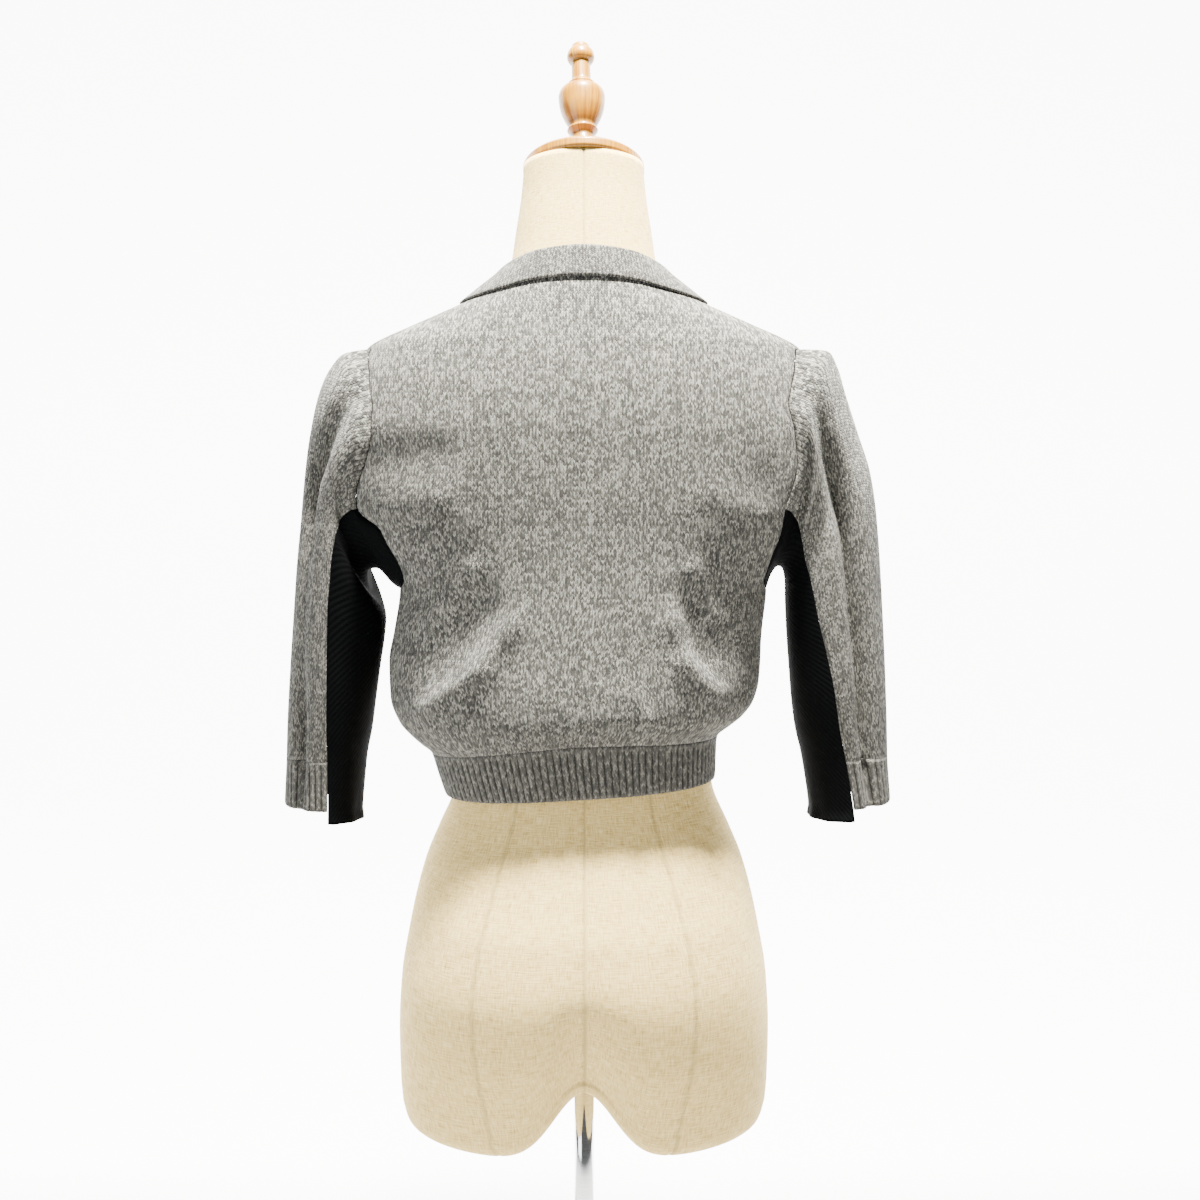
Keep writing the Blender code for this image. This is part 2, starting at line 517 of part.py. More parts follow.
def whole_sleeve(side):
    """The grid of a whole sleeve, once round from the front seam, with its wall's directions."""
    angles = np.concatenate((ARMHOLE_ANGLES, ARMHOLE_ANGLES[1:] + 360))
    angles = angles[(angles >= -GREY_EDGE_ANGLE) & (angles <= 360 - GREY_EDGE_ANGLE)]
    rows = np.array(SLEEVE_ROW_PLACES, float)[:, None]
    points = sleeve_point(side, angles[None, :-1], rows)
    around = bend_direction(np.roll(points, 1, axis=1), points, np.roll(points, -1, axis=1))
    down = np.empty_like(points)
    down[1:-1] = bend_direction(points[:-2], points[1:-1], points[2:])
    down[0], down[-1] = unit(points[1] - points[0]), unit(points[-1] - points[-2])
    normals = unit(np.cross(down, around))
    normals[1:-1] = unit(normals[:-2] + 2 * normals[1:-1] + normals[2:])
    wrapped = (angles[:-1] + 180) % 360 - 180
    body_angle = ARMHOLES[side].read("body_angle", wrapped)
    level = ARMHOLES[side].read("level", wrapped)
    body = body_normal(SIDES[side] * body_angle, level) * (SIDES[side], 1, 1)
    normals[0] = mitre(body, normals[0])
    closed = [np.concatenate((grid, grid[:, :1]), axis=1) for grid in (points, normals)]
    return angles, closed[0], closed[1]


def mitre(first, second):
    """The shared edge direction of two walls that meet at a seam."""
    middle = unit(first + second)
    lean = np.clip(np.sum(middle * first, axis=-1, keepdims=True), LEAST_LEAN, 1.0)
    return middle / lean


WHOLE_SLEEVES = {side: whole_sleeve(side) for side in SIDES}


def armhole_normal(side, sleeve_angle):
    angles, _, normals = WHOLE_SLEEVES[side]
    return normals[0, np.argmin(np.abs((angles - sleeve_angle + 180) % 360 - 180))]


# ---------------------------------------------------------------- making solids

def material(name, colour, roughness, metallic=0.0):
    made = bpy.data.materials.new(name)
    made.use_nodes = True
    shader = made.node_tree.nodes["Principled BSDF"]
    shader.inputs["Base Color"].default_value = (*colour, 1.0)
    shader.inputs["Roughness"].default_value = roughness
    shader.inputs["Metallic"].default_value = metallic
    return made


def make_object(name, vertices, faces, finish, sharp=40.0):
    mesh = bpy.data.meshes.new(name)
    mesh.from_pydata([tuple(v) for v in vertices], [], faces)
    work = bmesh.new()
    work.from_mesh(mesh)
    bmesh.ops.recalc_face_normals(work, faces=work.faces)
    if work.calc_volume(signed=True) < 0:
        bmesh.ops.reverse_faces(work, faces=work.faces)
    work.to_mesh(mesh)
    work.free()
    mesh.shade_smooth()
    mesh.set_sharp_from_angle(angle=math.radians(sharp))
    mesh.materials.append(finish)
    made = bpy.data.objects.new(name, mesh)
    bpy.context.scene.collection.objects.link(made)
    return made


def border(rows, columns):
    """Grid places once round the edge of a grid."""
    places = [(0, c) for c in range(columns)]
    places += [(r, columns - 1) for r in range(1, rows)]
    places += [(rows - 1, c) for c in range(columns - 2, -1, -1)]
    places += [(r, 0) for r in range(rows - 2, 0, -1)]
    return places


def inset(points, normals, amount):
    """Draws the edge of a grid of points in along the surface, so that seams stay open."""
    rows, columns = points.shape[:2]
    places = border(rows, columns)
    centre = points.reshape(-1, 3).mean(axis=0)
    moved = points.copy()
    inward_sign = 0.0
    pulls = []
    for i, place in enumerate(places):
        before, after = points[places[i - 1]], points[places[(i + 1) % len(places)]]
        here = points[place]
        normal = unit(normals[place])
        pull = unit(np.cross(normal, unit(here - before)) + np.cross(normal, unit(after - here)))
        pulls.append(pull)
        inward_sign += pull @ (centre - here)
    for place, pull in zip(places, pulls):
        moved[place] = points[place] + math.copysign(amount, inward_sign) * pull
    return moved


def cloth(name, points, normals, finish, mirror=False, wall=WALL):
    """A wall of cloth from a grid of outer points and the directions of its thickness."""
    rows, columns = points.shape[:2]
    outer = inset(points, normals, SEAM_INSET)
    inner = outer - wall * normals
    vertices = np.concatenate((outer.reshape(-1, 3), inner.reshape(-1, 3)))
    if mirror:
        vertices = vertices * (-1, 1, 1)
    back = rows * columns
    faces = []
    for r in range(rows - 1):
        for c in range(columns - 1):
            a, b = r * columns + c, r * columns + c + 1
            d, e = a + columns, b + columns
            faces.append((a, b, e, d))
            faces.append((back + a, back + d, back + e, back + b))
    places = [r * columns + c for r, c in border(rows, columns)]
    for i, place in enumerate(places):
        previous = places[i - 1]
        faces.append((previous, place, back + place, back + previous))
    return make_object(name, vertices, faces, finish)


def ribbed_cloth(name, surface, normal, starts, rows, finish, mirror=False):
    """A ribbed wall: channels between raised ribs outside, and a plain inside.

    starts are the places of the channels along the band and rows the places across it.
    """
    outer_at, outer_depth = [], []
    for start, end in zip(starts[:-1], starts[1:]):
        pitch = end - start
        outer_at += [start, start + RIB_CHANNEL * pitch, end - RIB_CHANNEL * pitch]
        outer_depth += [RIB_DEPTH, 0.0, 0.0]
    outer_at.append(starts[-1])
    outer_depth.append(RIB_DEPTH)
    outer_at, outer_depth = np.array(outer_at), np.array(outer_depth)
    vertices = []
    for row in rows:
        at_row = np.full(len(outer_at), row)
        normals = normal(outer_at, at_row)
        vertices.append(surface(outer_at, at_row) - outer_depth[:, None] * normals)
    inner_at = np.array(starts)
    for row in rows:
        at_row = np.full(len(inner_at), row)
        vertices.append(surface(inner_at, at_row) - (WALL + RIB_DEPTH) * normal(inner_at, at_row))
    vertices = np.concatenate(vertices)
    if mirror:
        vertices = vertices * (-1, 1, 1)
    wide, narrow, high = len(outer_at), len(inner_at), len(rows)
    back = high * wide
    faces = []
    for r in range(high - 1):
        for c in range(wide - 1):
            a = r * wide + c
            faces.append((a, a + 1, a + 1 + wide, a + wide))
        for c in range(narrow - 1):
            a = back + r * narrow + c
            faces.append((a, a + narrow, a + 1 + narrow, a + 1))
        for outer_column, inner_column in ((0, 0), (wide - 1, narrow - 1)):
            a, b = r * wide + outer_column, back + r * narrow + inner_column
            faces.append((a, a + wide, b + narrow, b))
    for r in (0, high - 1):
        for rib in range(narrow - 1):
            a = r * wide + 3 * rib
            b = back + r * narrow + rib
            faces.append((a, a + 1, a + 2, a + 3, b + 1, b))
    return make_object(name, vertices, faces, finish, sharp=30.0)


def turned(name, profile, finish, sides=TURNED_SIDES):
    """A round solid from (distance along the axis, radius) rows, closed at both ends."""
    vertices, faces = [], []
    for along, radius in profile:
        for i in range(sides):
            turn = 2 * math.pi * i / sides
            vertices.append((radius * math.cos(turn), radius * math.sin(turn), along))
    for r in range(len(profile) - 1):
        for i in range(sides):
            a, b = r * sides + i, r * sides + (i + 1) % sides
            faces.append((a, b, b + sides, a + sides))
    faces.append(tuple(range(sides)))
    last = (len(profile) - 1) * sides
    faces.append(tuple(last + i for i in range(sides)))
    return make_object(name, vertices, faces, finish)


def bore(target, name, radius, bottom, top):
    """Cuts a round blind hole into a solid with a Boolean modifier."""
    cutter = turned(name, ((bottom, radius), (top, radius)), target.data.materials[0])
    cutter.hide_render = True
    cutter.display_type = "WIRE"
    cut = target.modifiers.new("Bore", "BOOLEAN")
    cut.operation = "DIFFERENCE"
    cut.solver = "EXACT"
    cut.object = cutter
    return cutter


# ---------------------------------------------------------------- the jacket

def v_edge(level):
    """Half width of the front opening at a level."""
    share = np.clip((level - BREAK_LEVEL) / (NECK_LEVEL - BREAK_LEVEL), 0, 1)
    return FRONT_GAP + (V_HALF_WIDTH - FRONT_GAP) * share


def front_edge_angle(level):
    return angle_at(v_edge(level), level, front=True)


LOWER_LEVELS = (0.6300, 0.6350, 0.6420, 0.6520, 0.6660, 0.6830, 0.7010, 0.7190, 0.7370, 0.7540)
UPPER_LEVELS = (0.9860, 0.9930, 1.0030, 1.0130, 1.0220, 1.0300, 1.0360)


def panel_rows(front):
    """Levels of a body panel's rows, and the sleeve angle of those at the armhole."""
    rows = [(level, None) for level in LOWER_LEVELS]
    angles = [row[0] for row in ARMHOLE_ROWS]
    if front:
        at_armhole = [angle for angle in angles if angle <= SHOULDER_SEAM_ANGLE]
    else:
        at_armhole = [angle for angle in reversed(angles) if angle >= SHOULDER_SEAM_ANGLE]
    rows += [(float(ARMHOLES["left"].read("level", angle)), angle) for angle in at_armhole]
    rows += [(level, None) for level in UPPER_LEVELS]
    return rows


def side_edge(side, level, sleeve_angle):
    """Body angle of a panel's side edge: side seam, armhole or shoulder seam."""
    if sleeve_angle is not None:
        return float(ARMHOLES[side].read("body_angle", sleeve_angle))
    if level < UNDERARM_LEVEL:
        return 90.0
    return float(shoulder_seam_angle(level))


def evened(edge, levels):
    """An edge's body angles, evened out over the rows near by."""
    near = np.exp(-((levels - levels.T) / EDGE_REACH) ** 2) * np.gradient(levels[:, 0])
    return near @ edge / near.sum(axis=1, keepdims=True)


def panel_grid(rows, edges, columns):
    """Outer points and thickness directions of a panel between two edges on each row.

    A turn of an edge is taken up by the columns next to it, so the rest stay even.
    """
    share = np.array(columns)
    levels = np.array([level for level, _ in rows])[:, None]
    first, last = (np.array(edge)[:, None] for edge in zip(*edges))
    even_first, even_last = evened(first, levels), evened(last, levels)
    angles = even_first + (even_last - even_first) * share
    angles += (first - even_first) * (1 - share) ** 4 + (last - even_last) * share ** 4
    normals = body_normal(angles, levels)
    normals[0] = level_normal(angles[0], levels[0])
    return body_point(angles, levels), normals


def build_back(finish):
    rows = panel_rows(front=False)
    edges = [(-side_edge("right", level, angle), side_edge("left", level, angle))
             for level, angle in rows]
    points, normals = panel_grid(rows, edges, BACK_COLUMNS)
    for r, (_, sleeve_angle) in enumerate(rows):
        if sleeve_angle is not None:
            normals[r, 0] = armhole_normal("right", sleeve_angle) * (-1, 1, 1)
            normals[r, -1] = armhole_normal("left", sleeve_angle)
    return cloth("back", points, normals, finish)


def build_front(side, finish):
    rows = panel_rows(front=True)
    sign = SIDES[side]
    edges = [(sign * side_edge(side, level, angle), sign * float(front_edge_angle(level)))
             for level, angle in rows]
    points, normals = panel_grid(rows, edges, FRONT_COLUMNS)
    for r, (_, sleeve_angle) in enumerate(rows):
        if sleeve_angle is not None:
            normals[r, 0] = armhole_normal(side, sleeve_angle) * (sign, 1, 1)
    return cloth("front_" + side, points, normals, finish)


def build_hem_rib(name, first, last, ribs, finish):
    """The waist rib between two body angles, with ribs of one width."""
    fine = np.linspace(first, last, 361)
    middle = body_point(fine, (HEM_LEVEL + RIB_TOP_LEVEL) / 2)
    run = np.concatenate(([0], np.cumsum(np.linalg.norm(np.diff(middle, axis=0), axis=1))))
    places = np.linspace(SEAM_INSET, run[-1] - SEAM_INSET, ribs + 1)
    starts = np.interp(places, run, fine)
    rows = (HEM_LEVEL, RIB_TOP_LEVEL - 2 * SEAM_INSET)
    return ribbed_cloth(name, body_point, level_normal, starts, rows, finish)


def build_sleeve(side, grey, black):
    """The grey top of a sleeve and the black cloth under the arm, which reaches further down."""
    mirror = side == "right"
    angles, points, normals = WHOLE_SLEEVES[side]
    top = angles <= GREY_EDGE_ANGLE
    under = angles >= GREY_EDGE_ANGLE
    grey_rows = SLEEVE_ROW_PLACES.index(SLEEVE_CUFF_ROW) + 1
    cloth("sleeve_top_" + side, points[:grey_rows, top], normals[:grey_rows, top], grey, mirror)
    cloth("sleeve_under_" + side, points[:, under], normals[:, under], black, mirror)


def build_cuff(side, finish):
    """The ribbed cuff below a sleeve's grey cloth."""
    edge = GREY_EDGE_ANGLE - CUFF_EDGE_INSET
    starts = np.linspace(-edge, edge, CUFF_RIBS + 1)
    rows = (SLEEVE_CUFF_ROW + CUFF_ROW_INSET, SLEEVE_CUFF_END_ROW)

    def surface(angle, row):
        return sleeve_point(side, angle, row)

    def normal(angle, row):
        return sleeve_normal(side, angle, row)

    return ribbed_cloth("cuff_" + side, surface, normal, starts, rows, finish,
                        mirror=side == "right")


# ---------------------------------------------------------------- the collar

COLLAR_BACK_STATIONS = (0, 12, 24, 36, 48, 60, 72, 84, 94, 103)
COLLAR_FRONT_STATIONS = (1.036, 1.028, 1.017, 1.003, 0.985, 0.965, 0.942, 0.918, 0.896, 0.876)
COLLAR_STEPS = 3             # steps across the fall
FOLD_RADIUS = 0.0018
COLLAR_SEAM_GAP = WALL / 2 + 2 * SEAM_INSET
FULL_STAND = 0.010           # a stand this high or higher rises straight from its seam
STAND_SET_BACK = 0.0005      # and starts this much nearer the neck
STAND_LEAN = 0.2             # lean of the stand towards the neck
FLAT_TOP_REACH = 0.0022      # reach of the fold where there is no stand
FOLD_DROP = 0.0002
UP = np.array((0.0, 0.0, 1.0))


def collar_station(station, behind):
    """Edge and fall places of the collar, on the body, with its stand and its lift."""
    table = COLLAR_BACK if behind else COLLAR_FRONT
    edge = (station, NECK_LEVEL) if behind else (float(front_edge_angle(station)), station)
    fall = (float(table.read("fall_angle", station)), float(table.read("fall_level", station)))
    return edge, fall, float(table.read("stand", station)), float(table.read("lift", station))


def collar_section(side, station, behind):
    """The middle line of the collar's section: up the stand, over the fold, down the fall."""
    sign = SIDES[side]
    edge, fall, stand, lift = collar_station(station, behind)
    share = np.linspace(0, 1, COLLAR_STEPS + 1)
    angles = sign * (edge[0] + (fall[0] - edge[0]) * share)
    levels = edge[1] + (fall[1] - edge[1]) * share
    over = body_point(angles, levels)
    normals = body_normal(angles, levels)
    normal = normals[0]
    outward = unit(over[0] - over[1])
    outward = unit(outward - normal * (outward @ normal))
    risen = min(1.0, stand / FULL_STAND)
    rise = unit(UP - STAND_LEAN * unit(normal * (1, 1, 0)))
    start = over[0] - normal * WALL / 2 + outward * (COLLAR_SEAM_GAP - STAND_SET_BACK * risen)
    start = start + rise * 2 * SEAM_INSET * risen
    top_direction = unit(rise * risen + outward * (1 - risen))
    top = start + rise * stand + outward * FLAT_TOP_REACH * (1 - risen)
    side_direction = unit(normal - top_direction * (normal @ top_direction))
    centre = top + side_direction * FOLD_RADIUS
    inner_fold = top - top_direction * FOLD_DROP
    crown = centre + top_direction * FOLD_RADIUS
    outer_fold = centre + side_direction * FOLD_RADIUS
    leaf = over + lift * normals
    leaf = leaf + (1 - share[:, None]) * (outer_fold - leaf[0])
    return np.array([start, inner_fold, crown, outer_fold, *leaf[1:]])


def build_collar(finish):
    stations = [("right", s, False) for s in reversed(COLLAR_FRONT_STATIONS)]
    stations += [("right", s, True) for s in reversed(COLLAR_BACK_STATIONS[1:])]
    stations += [("left", s, True) for s in COLLAR_BACK_STATIONS]
    stations += [("left", s, False) for s in COLLAR_FRONT_STATIONS]
    lines = np.array([collar_section(*station) for station in stations])
    along = np.gradient(lines, axis=0)
    across = np.gradient(lines, axis=1)
    sideways = unit(np.cross(across, along))
    outer = lines + sideways * WALL / 2
    inner = lines - sideways * WALL / 2
    count, steps = lines.shape[:2]
    rings = np.concatenate((outer, inner[:, ::-1]), axis=1)
    size = 2 * steps
    faces = []
    for s in range(count - 1):
        for i in range(size):
            a, b = s * size + i, s * size + (i + 1) % size
            faces.append((a, b, b + size, a + size))
    for start in (0, (count - 1) * size):
        for i in range(steps - 1):
            faces.append((start + i, start + i + 1, start + size - 2 - i, start + size - 1 - i))
    return make_object("collar", rings.reshape(-1, 3), faces, finish)


# ---------------------------------------------------------------- the dress form and its stand

FORM_LEVELS = (0.306, 0.325, 0.360, 0.400, 0.435, 0.469, 0.501, 0.530, 0.560, 0.5916,
               0.630, 0.690, 0.750, 0.795, 0.830, 0.865, 0.900, 0.930, 0.955, 0.972,
               0.984, 0.996, 1.010, 1.023, 1.033, 1.045, 1.065, 1.1405)


def build_form(finish):
    angles = np.arange(FORM_COLUMNS) * 360 / FORM_COLUMNS
    angles = (angles + 180) % 360 - 180
    rings = []
    lowest = np.stack((*ring(FORM, angles, np.full(FORM_COLUMNS, FORM_LEVELS[0])),), axis=-1)
    for share, height in reversed(FORM_FOOT_ROWS):
        out, back = (lowest * share).T
        rings.append(np.stack((out, back, notched(out, np.full(FORM_COLUMNS, height))), -1))
    rings += [form_point(angles, np.full(FORM_COLUMNS, level)) for level in FORM_LEVELS]
    vertices = np.concatenate(rings)
    foot = np.array(((0.0, 0.0, float(notched(0.0, FORM_BOTTOM))),))
    vertices = np.concatenate((vertices, foot))
    faces = []
    for r in range(len(rings) - 1):
        for i in range(FORM_COLUMNS):
            a, b = r * FORM_COLUMNS + i, r * FORM_COLUMNS + (i + 1) % FORM_COLUMNS
            faces.append((a, b, b + FORM_COLUMNS, a + FORM_COLUMNS))
    middle = len(vertices) - 1
    for i in range(FORM_COLUMNS):
        faces.append((middle, (i + 1) % FORM_COLUMNS, i))
    last = (len(rings) - 1) * FORM_COLUMNS
    faces.append(tuple(last + i for i in range(FORM_COLUMNS)))
    body = make_object("form_body", vertices, faces, finish)
    socket_top = float(notched(0.0, FORM_BOTTOM)) + POLE_SOCKET_DEPTH
    bore(body, "pole_socket_cutter", POLE_HOLE_RADIUS, FORM_BOTTOM - 0.02, socket_top)
    return socket_top


def build_neck(finish):
    tilt = Matrix.Rotation(CAP_TILT, 4, "X")
    cap = turned("neck_cap", CAP_PROFILE, finish, sides=32)
    cap.matrix_world = Matrix.Translation(CAP_CENTRE) @ tilt
    finial = turned("finial", FINIAL_PROFILE, finish)
    finial.matrix_world = (Matrix.Translation(CAP_CENTRE) @ tilt
                           @ Matrix.Rotation(FINIAL_LEAN, 4, "Y"))


def build_stand(pole_top, steel):
    hole = ((BASE_BOSS_HEIGHT, POLE_HOLE_RADIUS), (BASE_THICKNESS, POLE_HOLE_RADIUS))
    profile = BASE_PROFILE + hole
    turned("base", profile, steel, sides=40)
    pole = ((BASE_THICKNESS + FIT_GAP, POLE_RADIUS), (pole_top - FIT_GAP, POLE_RADIUS))
    turned("pole", pole, steel)


# ---------------------------------------------------------------- everything

def main():
    for thing in list(bpy.data.objects):
        bpy.data.objects.remove(thing, do_unlink=True)

    grey = material("grey marl knit", (0.36, 0.36, 0.34), 0.95)
    rib = material("grey marl rib", (0.30, 0.30, 0.28), 0.95)
    black = material("black ribbed jersey", (0.010, 0.012, 0.014), 0.90)
    linen = material("cream linen", (0.72, 0.65, 0.50), 0.90)
    wood = material("honey wood", (0.56, 0.27, 0.08), 0.30)
    steel = material("polished steel", (0.72, 0.73, 0.75), 0.15, 1.0)

    build_back(grey)
    for side in SIDES:
        build_front(side, grey)
        build_sleeve(side, grey, black)
        build_cuff(side, rib)
    build_hem_rib("hem_rib_back", -90, 90, BACK_RIBS, rib)
    centre = float(front_edge_angle(RIB_TOP_LEVEL))
    build_hem_rib("hem_rib_front_left", 90, centre, FRONT_RIBS, rib)
    build_hem_rib("hem_rib_front_right", -90, -centre, FRONT_RIBS, rib)
    build_collar(rib)

    pole_top = build_form(linen)
    build_neck(wood)
    build_stand(pole_top, steel)


main()
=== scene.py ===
"""The looks of a cropped grey knit jacket on a limbless dress form.

World axes: +Z up, the floor at Z = 0, the jacket's front towards -Y, the wearer's left at +X.
All lengths are in metres and all angles in degrees.

A body angle runs round the Z axis from the centre back (0) through the wearer's left side (90)
to the centre front (180); the right side is negative. A body level is a height at the side of
the body. A sleeve angle runs round the armhole from the outer edge (0) through the back (90) to
the inner edge (180); the front is negative, and the seams between the grey and the black cloth
keep the angles 110 and -110 all the way down. A sleeve row counts from the armhole (0) down to
the black hem (13). The cloth's columns follow the knitted wales, its UV map is in metres across
and along them, and each piece lies on the surface that these coordinates give.
"""

import math
from functools import partial

import bpy
import numpy as np
from mathutils import Matrix, Vector


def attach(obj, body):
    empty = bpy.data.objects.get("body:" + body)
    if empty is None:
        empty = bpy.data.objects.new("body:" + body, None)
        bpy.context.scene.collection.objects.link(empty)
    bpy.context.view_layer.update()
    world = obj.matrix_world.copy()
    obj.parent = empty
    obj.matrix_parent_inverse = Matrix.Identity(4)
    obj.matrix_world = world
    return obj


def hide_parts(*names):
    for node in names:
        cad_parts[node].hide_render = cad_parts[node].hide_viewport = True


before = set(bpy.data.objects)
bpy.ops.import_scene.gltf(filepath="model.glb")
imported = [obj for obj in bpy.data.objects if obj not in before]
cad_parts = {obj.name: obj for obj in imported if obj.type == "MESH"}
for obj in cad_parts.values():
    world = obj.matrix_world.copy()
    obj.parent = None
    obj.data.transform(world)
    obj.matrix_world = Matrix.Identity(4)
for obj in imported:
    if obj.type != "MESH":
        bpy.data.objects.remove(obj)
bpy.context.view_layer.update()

# ---- the shape's own sizes

WALL = 0.0020                # thickness of the knitted cloth
HEM_LEVEL = 0.5916           # lower edge of the waist rib
RIB_TOP_LEVEL = 0.6300       # upper edge of the waist rib
UNDERARM_LEVEL = 0.7670      # foot of the armhole
NECK_LEVEL = 1.0360          # neckline at the side of the neck
BACK_RIBS = 58               # ribs in the back half of the waist band
FRONT_RIBS = 29              # ribs in each front quarter
CUFF_RIBS = 22
CUFF_EDGE_INSET = 0.5        # degrees between the cuff's edge and the black cloth's seam
CUFF_ROW_INSET = 0.01        # part of a sleeve row between the cuff and the grey cloth

SHOULDER_SEAM_BEHIND = 0.030  # the shoulder seams lie this far behind the ridge
FRONT_GAP = 0.0025           # half the gap between the two fronts
BREAK_LEVEL = 0.8600         # level where the V neckline begins
V_HALF_WIDTH = 0.0740        # half width of the V neckline at the neck level

SLEEVE_CUFF_ROW = 11
SLEEVE_CUFF_END_ROW = 12
SLEEVE_HEM_ROW = 13
ARMHOLE_FADE_ROWS = 4        # rows over which the armhole's own shape fades out
ARMPIT_TUCK = {"left": 0.0, "right": 0.010}   # depth of the tuck behind the arm
TUCK_ANGLE = 104.0
TUCK_SPREAD = 22.0
TUCK_ROWS = 3.0

FORM_BOTTOM = 0.279          # underside of the form's two lobes
NOTCH_RISE = 0.061           # height of the arch between the lobes
NOTCH_WIDTH = 0.036
NOTCH_FADE_LEVEL = 0.460     # the arch has died away at this height
POLE_RADIUS = 0.009
BASE_THICKNESS = 0.008
POLE_SOCKET_DEPTH = 0.050

CAP_CENTRE = Vector((0.0, -0.020, 1.141))
CAP_TILT = math.radians(17.0)     # the neck leans forward
FINIAL_LEAN = math.radians(1.3)   # and the finial a little to the wearer's left

ARC_PER_DEGREE = 0.0026      # metres of cloth in one degree round the body

# ---- short tables
# Each table's first line names its columns; what follows a # is a remark.

# The outer surface of the jacket's body, from the hem up to the neckline. The blouse hangs a
# little to the wearer's left (sway), and its hem is lower on that side (roll, a slope).
BODY_ROWS = """
level half_width back front squareness back_rise front_rise bust sway roll
.5916 .1223 .086 .102 2.3 .002 .002 0 .0032 .06
.612 .1258 .089 .1045 2.3 .006 .004 0 .0062 .06
.63 .1294 .092 .1075 2.3 .01 .006 0 .0081 .06
.64 .1409 .0965 .112 2.35 .009 .006 .001 .007 .06
.648 .15 .099 .1155 2.4 .008 .005 .001 .006 .06
.66 .1594 .101 .118 2.4 .006 .004 .002 .0065 .06
.68 .1658 .101 .1195 2.4 .004 .003 .003 .008 .05
.71 .1671 .0995 .12 2.4 .002 .001 .005 .0078 .03
.735 .1654 .0985 .12 2.4 0 0 .008 .0046 .012
.767 .1645 .097 .12 2.4 0 0 .011 .0005 0
.791 .176 .0965 .12 2.4 0 0 .013 0 0
.823 .204 .0965 .119 2.4 0 0 .014 0 0
.84 .218 .097 .117 2.4 0 0 .013 0 0
.876 .226 .0975 .112 2.4 0 0 .009 0 0
.905 .226 .0975 .1065 2.4 0 0 .005 0 0
.94 .216 .095 .1 2.4 0 0 .002 0 0
.966 .204 .0905 .093 2.4 0 0 0 0 0
.981 .194 .087 .0875 2.4 0 0 0 0 0
.985 .19 .0862 .086 2.4 0 0 0 0 0
.992 .177 .0835 .0825 2.4 .001 0 0 0 0
1.002 .154 .0805 .0775 2.4 .002 0 0 0 0
1.012 .131 .077 .073 2.4 .004 0 0 0 0
1.022 .108 .073 .0685 2.4 .006 0 0 0 0
1.03 .092 .069 .0645 2.4 .008 0 0 0 0
1.036 .079 .065 .061 2.4 .009 0 0 0 0
"""

# The dress form, from the lobes up to the neck. The tilt is the slope of a ring, front to back.
FORM_ROWS = """
level half_width back front squareness tilt bust
.306 .165 .0985 .087 2.3 0 0
.325 .1665 .1035 .09 2.3 0 0
.373 .1674 .1165 .097 2.3 0 0
.42 .165 .1215 .1 2.3 0 0
.469 .157 .113 .098 2.3 0 0
.501 .15 .101 .095 2.3 0 0
.53 .1415 .09 .092 2.3 0 0
.553 .1318 .08 .089 2.3 0 0
.5916 .116 .07 .086 2.3 0 0
.625 .112 .067 .084 2.3 0 0
.68 .117 .071 .089 2.3 0 .002
.74 .13 .079 .098 2.3 0 .005
.79 .142 .085 .108 2.3 0 .01
.83 .15 .0885 .114 2.3 0 .013
.86 .152 .091 .111 2.3 0 .01
.9 .158 .0935 .103 2.3 0 .005
.93 .168 .092 .097 2.3 0 .002
.955 .178 .0885 .0905 2.3 0 0
.972 .182 .085 .085 2.3 0 0
.982 .18 .0825 .0815 2.4 0 0
.989 .1735 .0795 .078 2.4 0 0
.999 .152 .076 .073 2.4 0 0
1.009 .129 .0725 .0685 2.4 0 0
1.019 .106 .0685 .064 2.4 0 0
1.027 .0895 .064 .06 2.4 0 0
1.033 .0765 .0595 .057 2.3 .02 0
1.045 .0685 .0535 .055 2.2 .08 0
1.06 .0645 .048 .0565 2.1 .15 0
1.085 .0605 .041 .06 2 .25 0
1.112 .056 .0345 .064 2 .3 0
1.1405 .053 .03 .07 2 .306 0
"""

# The rounding under the form: heights, and the share of the lowest ring's size there.
FORM_FOOT_ROWS = ((FORM_BOTTOM, 0.5), (0.2795, 0.8), (0.2835, 0.92), (0.292, 0.975))

# Armholes: for each sleeve angle, the level and how far out from the centre the seam runs; an
# out of 1 stands for the very side of the body.
ARMHOLE_ROWS = """
sleeve_angle level out_left out_right
-180 .767 1 1
-173 .7712 .1615 .1615
-166 .7775 .159 .159
-152 .79 .1665 .1665
-138 .804 .1735 .1735
-124 .821 .181 .181
-110 .84 .187 .187
-96 .862 .186 .186
-82 .885 .183 .183
-68 .908 .181 .181
-54 .93 .181 .181
-40 .95 .1835 .1835
-26 .966 .1875 .1875
-13 .975 .193 .193
0 .979 1 1
13 .981 .1868 .1868
28 .973 .188 .184
42 .96 .1858 .182
56 .944 .1842 .178
70 .926 .1812 .1758
84 .905 .1822 .1808
97 .876 .1918 .1835
110 .8407 .196 .1735
124 .823 .176 .1705
138 .806 .168 .1655
152 .791 .1605 .1615
166 .7775 .1575 .1585
173 .7712 .1615 .1615
180 .767 1 1
"""
SHOULDER_SEAM_ANGLE = 13     # sleeve angle that meets the shoulder seam
GREY_EDGE_ANGLE = 110        # sleeve angle where the grey top sleeve ends at the armhole

